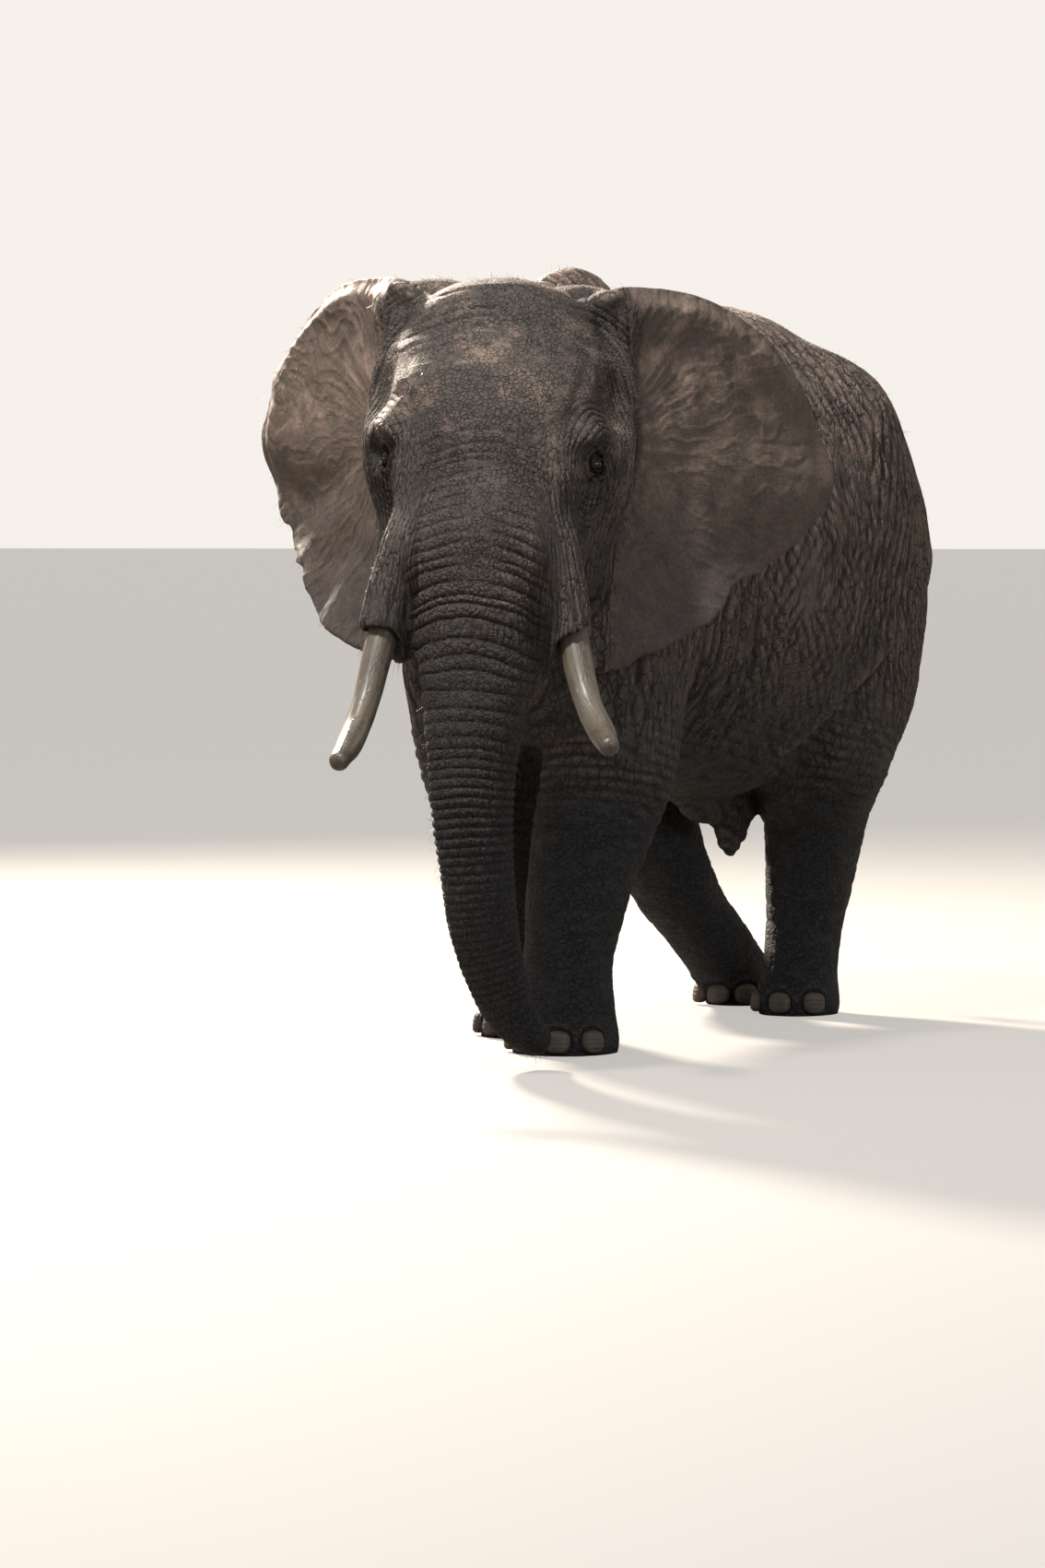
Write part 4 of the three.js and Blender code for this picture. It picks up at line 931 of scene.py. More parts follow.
def eye_frame(s):
    """Centre of the eyeball, its radius, and its directions: out of the head, to the front, up."""
    low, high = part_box("eye_left" if s > 0 else "eye_right")
    centre = ((np.array(low) + np.array(high)) / 2 - MIDDLE) * 1000
    out = unit(HEAD_LEFT * s * 0.74 + HEAD_FRONT * 0.66 + HEAD_UP * 0.02)
    front = unit(np.cross(HEAD_UP, out)) * s
    return centre, EYE_RADIUS, out, front, np.cross(out, front) * -s


def shape_lids(skin):
    """Raises the lids over each eyeball and opens them. Gives how wet the skin is there, with painted shade
    round each eye.
    """
    damp = np.zeros(len(skin.co))
    for s in BOTH:
        centre, radius, out, front, up = eye_frame(s)
        i = np.flatnonzero(np.linalg.norm(skin.co - centre, axis=1) < 190)
        q = skin.co[i] - centre
        h, a, u = q @ out, q @ front, q @ up
        i, h, a, u = (v[h > -70] for v in (i, h, a, u))
        away = np.hypot(a * 0.92, u)
        # the ball's swelling under the skin
        dome = np.sqrt(np.maximum((radius + 7.0) ** 2 - np.minimum(away, radius + 6.9) ** 2, 0))
        over = smooth(radius + 16 - away, 0, 18)
        new = mix(h, np.maximum(dome, h * 0.4), over)
        # pouches and creases round it
        ring = away + 2.5 * np.sin(a / 9) + 0.10 * a - radius
        new += 12 * bell(ring - 27, 11) * (0.6 + 0.4 * np.tanh(u / 12)) - 13 * bell(ring - 13, 5.5)
        new -= 8 * bell(ring - 43, 5) + 6 * bell(ring - 59, 5) + 5 * bell(ring - 76, 6) * smooth(-u, -20, 30)
        # the opening
        wide = 0.97 * radius
        k = np.clip(1 - (a / wide) ** 2, 0, 1)
        top, bottom = 24.0 * k**0.7 - 0.10 * a, -17.0 * k**0.9 - 0.16 * a
        inside = np.minimum(top - u, u - bottom)
        inside = np.where(np.abs(a) < wide, inside, wide - np.abs(a))
        ball = np.sqrt(np.maximum(radius**2 - np.minimum(away, radius) ** 2, 0))
        new += 3.0 * bell(inside + 4.0, 3.4) * over  # the lid's thick margin
        new = mix(new, ball - 9.0, smooth(inside, -0.6, 1.6))
        skin.co[i] += (new - h)[:, None] * out
        # the wet lid margin, darkened also as painted shade under the lids
        damp[i] = np.maximum(damp[i], smooth(inside, -21, -8))
        tear = bell(a - 27 - 0.25 * (-u), 8) * smooth(-u, 6, 20) * (1 - smooth(-u, 50, 105))
        damp[i] = np.maximum(damp[i], 0.85 * tear)
        # painted shade round the eye
        damp[i] = np.maximum(damp[i], 0.5 * smooth(74 - away, 0, 26))
    return damp


def fine_forms(p, at):
    """Wrinkles of the whole hide: movement, and the painted shade that each point gets in the creases."""
    move, crease_shade = np.zeros((2, len(p)))
    s_side = np.abs(at.side)

    def furrows(i, w, phase, rise, full, sink, dark, dark_width=0.45):
        """Rolls that rise to their full height at `full` of the phase, with a line of painted shade in each
        furrow.
        """
        move[i] += w * (rise * smooth(phase, 0, full) - sink)
        # painted shade: a dark line along each furrow
        crease_shade[i] += dark * w * groove(phase, dark_width)

    # rolls round the trunk and over its root, arched across the front
    i = np.flatnonzero((at.head + at.trunk > 0.02) & (at.up < 2760))
    q = p[i]
    lower = smooth(1640 - at.up[i], 0, 300)
    across = mix(at.side[i], at.across[i], lower)
    arch = mix(0.0012, 0.0004, lower) * across**2
    back = smooth(-at.facing[i], 0, 60) * at.trunk[i]
    warp = arch + (9 * noise(q, 150, 41) + 4 * noise(q, 60, 42)) * mix(1, 0.5, lower)
    d, full, gap, which = creased(at.level[i], TRUNK_CREASES, warp)
    root = at.head[i] * (1 - smooth(s_side[i], 190, 300)) * (at.front[i] > 300)
    strength = np.maximum(at.trunk[i], root)
    own = 0.75 + 0.25 * np.sin(which * 12.9 + 3)
    size = np.interp(at.level[i], [200, 700, 1250, 1450, 1620, 1900, 1985, 2300, 2560, 2700],
                     [9, 13, 18, 19, 21, 20, 15, 16, 14, 0])
    patchy = mix(0.35 + 0.65 * smooth(noise(q, 190, 43), -0.5, 0.4), 1, smooth(2000 - at.level[i], 0, 120))
    move[i] += strength * size * own * patchy * (full - 0.75) * mix(1, 0.6, back)
    # painted shade along the furrows between the trunk's rolls
    crease_shade[i] += 1.3 * strength * patchy * own * groove(d, 5 + 0.1 * gap) * smooth(size, 2, 6)
    # short wrinkles across the rolls
    fan = bell(at.level[i] - 1800, 170)
    pattern = np.stack([across / mix(19, 34, fan), at.front[i] / 30, at.level[i] / mix(70, 130, fan)], 1)
    line = groove(cracks(pattern + 0.25 * noise(q, 50, 44)[:, None], 51), 0.22)
    move[i] -= strength * (3.5 + 3.5 * fan) * line * full
    # painted shade in the short wrinkles across the rolls
    crease_shade[i] += strength * (0.45 + 0.3 * fan) * line
    # long wrinkles down the tusk sheaths and cheeks
    i = np.flatnonzero((at.head > 0.05) & (at.up < 2560) & (s_side > 130))
    q = p[i]
    w = at.head[i] * smooth(s_side[i], 160, 240) * (1 - smooth(at.up[i], 2400, 2560))
    w *= 1 - 0.6 * smooth(1770 - at.up[i], 0, 80)
    around = 0.8 * s_side[i] - 0.6 * at.front[i] + 0.06 * at.up[i]
    for spacing, depth in ((31, 6.5), (21, 3.5)):
        phase = wave(around + 17 * noise(q * [1, 1, 0.5], 110, spacing), spacing)
        broken = w * smooth(noise(q * [1, 1, 0.35], 75, spacing + 1), -0.55, 0.25)
        furrows(i, broken, phase, depth, 0.65, 0.7 * depth, 0.09 * depth, 0.5)
    # arcs over the crown
    i = np.flatnonzero((at.head > 0.05) & (at.up > 2820))
    q = p[i]
    w = at.head[i] * smooth(at.up[i], 2830, 2960) * (at.front[i] > -100)
    arc = at.up[i] + 0.0009 * at.side[i] ** 2 + 9 * noise(q, 170, 46) + 0.25 * at.front[i]
    broken = w * smooth(noise(q * [1, 1, 2], 130, 47), -0.5, 0.4)
    furrows(i, broken, wave(arc, 32), 6.5, 0.6, 4.5, 0.55)
    # strands of skin down the temples, between eye and ear
    i = np.flatnonzero((at.head > 0.05) & (s_side > 380) & (at.up > 2150))
    q = p[i]
    w = at.head[i] * smooth(s_side[i], 395, 440) * (1 - smooth(at.front[i], 190, 300))
    w *= smooth(at.up[i], 2160, 2300) * (1 - smooth(at.up[i], 2980, 3120))
    strand = at.front[i] + 20 * np.sin(at.up[i] / 130) + 12 * noise(q, 160, 48)
    furrows(i, w, wave(strand, 30), 10, 0.75, 6.5, 0.7)
    # rings about the eye
    for s in BOTH:
        centre, _, _, front, up = eye_frame(s)
        i = np.flatnonzero(np.linalg.norm(p - centre, axis=1) < 300)
        q = p[i] - centre
        a, u = q @ front, q @ up
        away = np.hypot(a, u * 0.9) + 8 * noise(p[i], 70, 49)
        w = at.head[i] * smooth(away, 95, 125) * (1 - smooth(away, 190, 270)) * (1 - 0.7 * smooth(a, 20, 90))
        furrows(i, w, wave(away, 24), 6, 0.65, 4, 0.6)
    # level cracks on the lower legs
    i = np.flatnonzero(at.leg > 0.05)
    q = p[i]
    line = groove(cracks(q / [60, 60, 26] + 0.3 * noise(q, 90, 50)[:, None], 57), 0.22)
    w = at.leg[i] * smooth(q[:, 2], 120, 200) * (1 - smooth(q[:, 2], 900, 1300))
    move[i] += w * (0.8 - 2.6 * line)
    # painted shade in the level cracks of the legs
    crease_shade[i] += 0.3 * w * line
    # the body's wrinkles: upright over hips and shoulders, crossed over the flanks, level under the belly
    i = np.flatnonzero(at.torso + at.leg > 0.05)
    q = p[i]
    x, y, z = q.T
    w = at.torso[i] + at.leg[i] * smooth(z, 700, 1200)
    w *= 1 - 0.85 * smooth(z, 2620, 2780) * smooth(y, 1450, 1650)
    bent = y + 0.9 * np.abs(x) * smooth(y, 1200, 1700) + 26 * noise(q, 190, 61) + 10 * noise(q, 70, 62)
    low = 1 - smooth(z, 1150, 1500)
    crossed = bell(y - 300, 560) * (1 - low) * (1 - smooth(z, 2200, 2650))
    upright = (1 - low) * (1 - 0.8 * crossed)
    sets = ((6, 46, upright), (-15, 66, upright), (38, 57, crossed), (-43, 66, crossed), (80, 46, low),
            (58, 72, low))
    for degrees, spacing, share in sets:
        lean = math.radians(degrees)
        phase = wave(bent * math.cos(lean) + z * math.sin(lean), spacing)
        broken = w * share * smooth(noise(q, 150, spacing), -0.5, 0.3)
        furrows(i, broken, phase, 8.5, 0.7, 6.2, 0.85, 0.5)
    return move, np.clip(crease_shade, 0, 1)


# ---- the hide, made
WRAP_LOW, WRAP_HIGH, WRAP_CELL = (-1400, -2720, -240), (1180, 2100, 3420), 24.0


def grow_hide(crease_depth):
    """The finished hide as a Skin, with its resting shape, the painted shade in its creases, and how wet each
    point is, with painted shade round the eyes.
    """
    skin = Skin(*wrap(flesh, WRAP_LOW, WRAP_HIGH, WRAP_CELL))
    skin.co = skin.drawn(skin.co, (0.5, -0.515) * 2)  # out again after each step, to hold the size
    skin.settle(flesh, 8)
    skin.refine(np.ones(len(skin.quads), bool))
    skin.settle(flesh, 4)
    skin.co[:, 2] = np.maximum(skin.co[:, 2], 0)
    skin.base = skin.co.copy()
    at = reshape_ears(skin)
    grounded = smooth(skin.base[:, 2], 0, 25)
    move = (large_forms(skin.base, at) + head_forms(at)) * grounded * crease_depth
    skin.co += skin.normals() * move[:, None]
    part_lips(skin)
    bed_nails(skin)
    fine = at.head + at.trunk + at.ear * 0.9
    skin.refine(fine[skin.quads].mean(1) > 0.45)
    for reach in (150.0, 85.0):
        near = np.min([np.linalg.norm(skin.co - eye_frame(s)[0], axis=1) for s in BOTH], axis=0)
        skin.refine(near[skin.quads].max(1) < reach)
    at = Places(skin.base)
    move, crease_shade = fine_forms(skin.base, at)
    move *= smooth(skin.base[:, 2], 0, 25) * crease_depth
    skin.co += skin.normals() * move[:, None]
    damp = shape_lids(skin)
    skin.co[:, 2] = np.maximum(skin.co[:, 2], 0)
    return skin, at, crease_shade, damp


def relief(skin):
    """How far each point stands over (+) or lies under (-) the surface round it, in millimetres."""
    return dots(skin.co - skin.drawn(skin.co, (0.5,) * 5), skin.normals())


# ---- unwrapping
def joined(count, pairs):
    """Numbers the groups that the pairs join up."""
    label = np.arange(count)
    while True:
        a, b = label[pairs[:, 0]], label[pairs[:, 1]]
        apart = a != b
        if not apart.any():
            return np.unique(label, return_inverse=True)[1]
        label[np.maximum(a, b)[apart]] = np.minimum(a, b)[apart]
        while (label[label] != label).any():
            label = label[label]


CHART_GAP, SMALL_CHART = 24.0, 150
CHART_SIZES = {"head": 1.7, "ear": 1.15, "trunk": 1.4, "rest": 1.0}


def unwrap(skin, at):
    """A place on a square map for every corner, from the resting shape seen square on, part by part."""
    flat, sizes = skin.loops()
    starts = np.concatenate([[0], np.cumsum(sizes)[:-1]])
    still = Skin(skin.base, skin.quads)
    still.rest = skin.rest
    facing = np.add.reduceat(still.normals()[flat], starts)

    def average(values):
        return np.add.reduceat(values[flat], starts) / sizes

    ear_frames = {}
    for s, ear in ears.items():
        mid, out, up = (ear.sheet(*v) for v in ((600, 2400), (700, 2400), (600, 2500)))
        out, up = unit(out - mid), unit(up - mid)
        ear_frames[s] = np.stack([out, np.cross(up, out), up])
    regions = [(at.head, HEAD_AXES, "head"), (at.trunk, HEAD_AXES, "trunk")]
    regions += [(at.ear * (at.ear_side == s), ear_frames[s], "ear") for s in BOTH]
    regions += [(at.leg * (at.leg_number == k), np.eye(3), "rest") for k in range(4)]
    regions += [(at.tail, np.eye(3), "rest"), (at.torso, np.eye(3), "rest")]
    region = np.stack([average(share) for share, _, _ in regions]).argmax(0)
    frames = np.stack([axes for _, axes, _ in regions])
    toward = np.einsum("nij,nj->ni", frames[region], facing)
    side = np.abs(toward).argmax(1)
    code = region * 6 + side * 2 + (toward[np.arange(len(side)), side] > 0)
    # faces that share an edge
    after = np.arange(len(flat)) + 1
    after[starts + sizes - 1] = starts
    ends = np.sort(np.stack([flat, flat[after]], 1).astype(np.int64), 1)
    key = ends[:, 0] * len(skin.co) + ends[:, 1]
    order = np.argsort(key, kind="stable")
    same = np.flatnonzero(key[order[1:]] == key[order[:-1]])
    face_of = np.repeat(np.arange(len(sizes)), sizes)
    pairs = np.stack([face_of[order[same]], face_of[order[same + 1]]], 1)
    for _ in range(12):
        chart = joined(len(sizes), pairs[code[pairs[:, 0]] == code[pairs[:, 1]]])
        count = np.bincount(chart)
        a, b = np.concatenate([pairs, pairs[:, ::-1]]).T
        moving = (count[chart[a]] < SMALL_CHART) & (count[chart[b]] > count[chart[a]])
        if not moving.any():
            break
        code[a[moving]] = code[b[moving]]
    # each chart seen along its own direction
    axes = frames[code // 6]
    direction, sign = (code % 6) // 2, np.where(code % 2, 1.0, -1.0)
    rows = np.arange(len(code))
    across = axes[rows, (direction + 1) % 3] * sign[:, None]
    upward = axes[rows, (direction + 2) % 3]
    scale = np.array([CHART_SIZES[name] for _, _, name in regions])[code // 6]
    corner = skin.base[flat]
    uv = np.stack([dots(corner, across[face_of]), dots(corner, upward[face_of])], 1) * scale[face_of][:, None]
    chart_of = chart[face_of]
    order = np.argsort(chart_of, kind="stable")
    first = np.searchsorted(chart_of[order], np.arange(chart.max() + 1))
    low, high = np.minimum.reduceat(uv[order], first), np.maximum.reduceat(uv[order], first)
    size = high - low + CHART_GAP
    # shelves, tallest charts first
    by_height = np.argsort(-size[:, 1])
    wide = math.sqrt(size.prod(1).sum())
    while True:
        wide *= 1.03
        x = y = shelf = 0.0
        place = np.zeros_like(size)
        for c in by_height:
            if x + size[c, 0] > wide:
                x, y, shelf = 0.0, y + shelf, 0.0
            shelf = max(shelf, size[c, 1])
            place[c] = x, y
            x += size[c, 0]
        if y + shelf <= wide and size[:, 0].max() <= wide:
            break
    return (uv - low[chart_of] + place[chart_of] + CHART_GAP / 2) / wide


# ---- finishes
class Finish:
    """A material in the making. Each call adds a node and gives back what it puts out."""

    def __init__(self, name, roughness=0.6, **sockets):
        self.material = bpy.data.materials.new(name)
        self.material.use_nodes = True
        tree = self.material.node_tree
        self.nodes, self.links = tree.nodes, tree.links
        self.nodes.clear()
        self.shader = self.nodes.new("ShaderNodeBsdfPrincipled")
        out = self.nodes.new("ShaderNodeOutputMaterial")
        self.links.new(self.shader.outputs["BSDF"], out.inputs["Surface"])
        self.put("Roughness", roughness)
        for socket, value in sockets.items():
            self.put(socket.replace("_", " "), value)

    def put(self, socket, value):
        self.feed(self.shader.inputs[socket], value)

    def feed(self, socket, value):
        if isinstance(value, bpy.types.NodeSocket):
            self.links.new(value, socket)
        elif isinstance(value, (tuple, list)) and len(value) == 3 and socket.type == "RGBA":
            socket.default_value = (*value, 1.0)
        else:
            socket.default_value = value

    def add(self, kind, inputs, output=0, **settings):
        node = self.nodes.new("ShaderNode" + kind)
        for name, value in settings.items():
            setattr(node, name, value)
        for name, value in inputs.items():
            self.feed(node.inputs[name], value)
        return node.outputs[output]

    def attribute(self, name, output="Fac"):
        return self.add("Attribute", {}, output, attribute_name=name)

    def times(self, a, b):
        return self.add("Math", {0: a, 1: b}, operation="MULTIPLY")

    def larger(self, a, b):
        return self.add("Math", {0: a, 1: b}, operation="MAXIMUM")

    def shaded(self, colour, amount):
        """The colour times a number."""
        return self.mixed(colour, self.add("CombineColor", {i: amount for i in range(3)}), 1.0, "MULTIPLY")

    def ranged(self, value, low, high, to_low=0.0, to_high=1.0):
        inputs = {"Value": value, "From Min": low, "From Max": high, "To Min": to_low, "To Max": to_high}
        return self.add("MapRange", inputs, interpolation_type="SMOOTHSTEP")

    def mixed(self, a, b, share, blend="MIX"):
        return self.add("Mix", {0: share, 6: a, 7: b}, 2, data_type="RGBA", blend_type=blend)

    def blend(self, a, b, share):
        return self.add("Mix", {0: share, 2: a, 3: b}, 0, data_type="FLOAT")

    def clouds(self, vector, scale, detail=3.0, rough=0.55, output=0):
        inputs = {"Vector": vector, "Scale": scale, "Detail": detail, "Roughness": rough}
        return self.add("TexNoise", inputs, output)

    def cells(self, vector):
        """Distance from the nearest border between random cells, each about 1 wide."""
        inputs = {"Vector": vector, "Scale": 1.0}
        return self.add("TexVoronoi", inputs, "Distance", feature="DISTANCE_TO_EDGE")

    def scaled(self, vector, factors):
        return self.add("VectorMath", {0: vector, 1: factors}, operation="MULTIPLY")

    def shifted(self, vector, by, amount):
        centred = self.add("VectorMath", {0: by, 1: (0.5, 0.5, 0.5)}, operation="SUBTRACT")
        return self.add("VectorMath", {0: vector, 1: self.scaled(centred, (amount,) * 3)}, operation="ADD")

    def bump(self, height, distance, strength=1.0, under=None):
        inputs = {"Height": height, "Distance": distance, "Strength": strength}
        if under is not None:
            inputs["Normal"] = under
        return self.add("Bump", inputs)


# dark of the painted shade in creases and hollows
CREASE_SHADE_COLOUR = (0.012, 0.0095, 0.0085)
# dark of wet skin and of the painted shade round the eyes
WET_AND_EYE_SHADE_COLOUR = (0.009, 0.007, 0.006)
PUPIL_COLOUR = (0.004, 0.003, 0.003)


def hide_finish(settings):
    """Dusty grey-brown hide, parted by a net of cracks, with painted shade in the cracks, creases and low
    parts, and pale dust with painted highlight on the ridges.
    """
    f = Finish("hide", 0.75, Specular_IOR_Level=0.35)
    rest, net = f.attribute("rest", "Vector"), f.attribute("net", "Vector")
    crease, dust, ridge = (f.attribute(name) for name in ("crease", "dust", "ridge"))
    damp, shade, thin = (f.attribute(name) for name in ("damp", "shade", "thin"))
    net_moved = f.shifted(net, f.clouds(net, 0.35, 2.0, output="Color"), 1.3)
    plates = f.cells(net_moved)
    faint = f.ranged(f.clouds(net, 0.45, 2.0), 0.46, 0.72)
    faint = f.larger(faint, f.times(thin, 0.85))
    wide = f.blend(f.ranged(plates, 0.0, 0.2), 0.9, faint)
    line = f.blend(f.ranged(plates, 0.0, 0.06), 1.0, faint)
    fine = f.ranged(f.cells(f.scaled(net_moved, (2.6, 2.6, 2.9))), 0.0, 0.22)
    fine = f.blend(fine, 0.9, f.times(thin, 0.8))
    grain = f.clouds(rest, 420.0, 3.0, 0.6)
    patch = f.clouds(rest, 1.7, 4.0, 0.6)
    blotch = f.clouds(rest, 11.0, 4.0, 0.62)
    # colour
    base = f.mixed(settings.colour[:], settings.dark_colour[:], f.ranged(patch, 0.35, 0.68))
    base = f.mixed(base, settings.ear_colour[:], f.times(thin, f.ranged(blotch, 0.25, 0.75, 0.2, 0.9)))
    # painted shade: a darker, bluer grey over the low parts
    base = f.mixed(base, settings.painted_shade_colour[:], shade)
    base = f.mixed(base, settings.dust_colour[:], f.times(dust, f.ranged(blotch, 0.32, 0.66, 0.0, 0.8)))
    tint = f.ranged(f.clouds(rest, 60.0, 2.0), 0.2, 0.8, 0.80, 1.2)
    base = f.shaded(base, tint)
    # pale dust on the ridges together with painted highlight, weaker where the painted shade lies
    pale = f.times(ridge, f.ranged(shade, 0.0, 1.0, 0.5, 0.14))
    base = f.mixed(base, settings.dust_colour[:], pale)
    # painted shade along the net of cracks
    crack_shade = f.times(f.ranged(line, 0.0, 1.0, 0.28, 1.05), f.ranged(fine, 0.0, 1.0, 0.74, 1.05))
    crack_shade = f.times(crack_shade, f.ranged(wide, 0.0, 1.0, 0.75, 1.0))
    base = f.shaded(base, crack_shade)
    # painted shade in creases and hollows
    base = f.mixed(base, CREASE_SHADE_COLOUR, f.times(crease, 0.8))
    # wet dark skin, and painted shade round the eyes
    base = f.mixed(base, WET_AND_EYE_SHADE_COLOUR, f.times(damp, 0.9))
    f.put("Base Color", base)
    rough = f.ranged(blotch, 0.3, 0.7, 0.62, 0.82)
    f.put("Roughness", f.blend(rough, 0.25, damp))
    # relief finer than the mesh
    normal = f.bump(wide, 0.0055, settings.crack_depth)
    normal = f.bump(fine, 0.0016, settings.crack_depth, normal)
    f.put("Normal", f.bump(grain, 0.0006, 0.6, normal))
    return f.material


def tusk_finish(settings):
    """Worn ivory: streaks lengthways, fine cracks, brown at the lip and earth-stained at the tip."""
    f = Finish("tusk_ivory", 0.38, Coat_Weight=0.12, Coat_Roughness=0.3)
    place = f.attribute("grain", "Vector")  # round, along from lip to tip
    tip, lip = f.attribute("tip"), f.attribute("lip")
    streaks = f.clouds(f.scaled(place, (26.0, 1.6, 26.0)), 1.0, 4.0, 0.6)
    blotch = f.clouds(f.scaled(place, (5.0, 5.0, 5.0)), 1.0, 4.0, 0.62)
    uneven = f.shifted(place, f.clouds(place, 9.0, 2.0, output="Color"), 0.05)
    split = f.cells(f.scaled(uneven, (30.0, 2.2, 30.0)))
    hair_line = f.ranged(split, 0.0, 0.05, 1.0, 0.0)
    base = f.mixed(settings.colour[:], settings.stain_colour[:], f.ranged(streaks, 0.36, 0.70, 0.0, 0.8))
    base = f.mixed(base, settings.stain_colour[:], f.times(tip, f.ranged(blotch, 0.3, 0.62, 0.25, 0.95)))
    base = f.mixed(base, settings.dirt_colour[:], f.times(lip, f.ranged(blotch, 0.25, 0.6, 0.45, 1.0)))
    base = f.mixed(base, settings.dirt_colour[:], f.times(hair_line, 0.45))
    base = f.mixed(base, settings.dirt_colour[:], f.times(f.ranged(blotch, 0.5, 0.68), 0.6))
    f.put("Base Color", base)
    f.put("Roughness", f.ranged(streaks, 0.3, 0.75, 0.28, 0.55))
    normal = f.bump(streaks, 0.0012, 0.6)
    f.put("Normal", f.bump(hair_line, -0.0008, 0.8, normal))
    return f.material


def eye_finish(settings):
    """Brown iris with fine spokes round a dark pupil, and a dark wet white."""
    f = Finish("eye_wet", 0.06, Coat_Weight=1.0, Coat_Roughness=0.02, IOR=1.4)
    disc = f.attribute("disc", "Vector")
    polar = f.attribute("polar")  # 0 in the middle of the pupil, 1 at the rim of the iris
    spokes = f.clouds(f.scaled(disc, (30.0, 2.0, 30.0)), 1.0, 3.0)
    iris = f.mixed(settings.iris_colour[:], settings.iris_edge_colour[:], f.ranged(spokes, 0.3, 0.7))
    iris = f.mixed(iris, settings.iris_edge_colour[:], f.ranged(polar, 0.75, 1.0))
    white = f.mixed(settings.white_colour[:], settings.iris_edge_colour[:], f.clouds(disc, 5.0, 3.0))
    base = f.mixed(PUPIL_COLOUR, iris, f.ranged(polar, 0.36, 0.42))
    f.put("Base Color", f.mixed(base, white, f.ranged(polar, 0.98, 1.08)))
    f.put("Roughness", f.ranged(f.clouds(disc, 12.0), 0.3, 0.7, 0.04, 0.09))
    f.put("Normal", f.bump(f.clouds(disc, 9.0, 2.0), 0.0002, 0.15))
    return f.material


def nail_finish(settings):
    """Horn with growth lines across, worn pale at the edge and dusty."""
    f = Finish("nail_horn", 0.6, Specular_IOR_Level=0.4)
    place = f.attribute("grain", "Vector")
    lines = f.clouds(f.scaled(place, (3.0, 3.0, 60.0)), 1.0, 4.0, 0.6)
    blotch = f.clouds(f.scaled(place, (14.0, 14.0, 14.0)), 1.0, 4.0, 0.6)
    base = f.mixed(settings.colour[:], settings.dark_colour[:], f.ranged(lines, 0.35, 0.68, 0.0, 0.8))
    base = f.mixed(base, settings.dust_colour[:], f.ranged(blotch, 0.45, 0.7, 0.0, 0.75))
    f.put("Base Color", base)
    f.put("Roughness", f.ranged(blotch, 0.3, 0.7, 0.5, 0.75))
    f.put("Normal", f.bump(lines, 0.0015, 0.8))
    return f.material


def bristle_finish(settings):
    """Coarse black-brown hair, paler and dustier towards its tips."""
    f = Finish("bristle", 0.42, Specular_IOR_Level=0.5)
    along, own = f.attribute("along"), f.attribute("own")
    base = f.mixed(settings.colour[:], settings.tip_colour[:], f.ranged(along, 0.3, 1.0, 0.0, 0.8))
    base = f.mixed(base, settings.tip_colour[:], f.ranged(own, 0.6, 1.0, 0.0, 0.5))
    f.put("Base Color", base)
    f.put("Roughness", f.ranged(own, 0.0, 1.0, 0.35, 0.55))
    rough = f.clouds(f.attribute("grain", "Vector"), 900.0, 2.0)
    f.put("Normal", f.bump(rough, 0.0002, 0.4))
    return f.material


# ---- making the pieces
def set_point_values(thing, **values):
    """Stores a number or a direction for every vertex, for the finishes to read."""
    for name, data in values.items():
        data = np.asarray(data, np.float32)
        kind = "FLOAT" if data.ndim == 1 else "FLOAT_VECTOR"
        layer = thing.data.attributes.new(name, kind, "POINT")
        layer.data.foreach_set("value" if data.ndim == 1 else "vector", data.ravel())


def set_map(thing, uv):
    layer = thing.data.uv_layers.new(name="OFBake")
    layer.data.foreach_set("uv", np.asarray(uv, np.float32).ravel())


def finish_piece(thing, material, slot, *nodes):
    """Dresses a piece, hangs it from the root body and hides the model's parts that it stands for."""
    thing.data.materials.append(material)
    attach(thing, "root")
    if nodes:
        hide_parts(*nodes)
    return thing


FLESH_NODES = [
    "torso", "neck", "head", "lower_jaw", "trunk_root", "trunk_middle", "trunk_lower", "trunk_tip", "tail",
    *[f"{part}_{side}" for part in ("ear", "foreleg", "forefoot", "hind_leg", "hind_foot")
      for side in ("left", "right")],
]


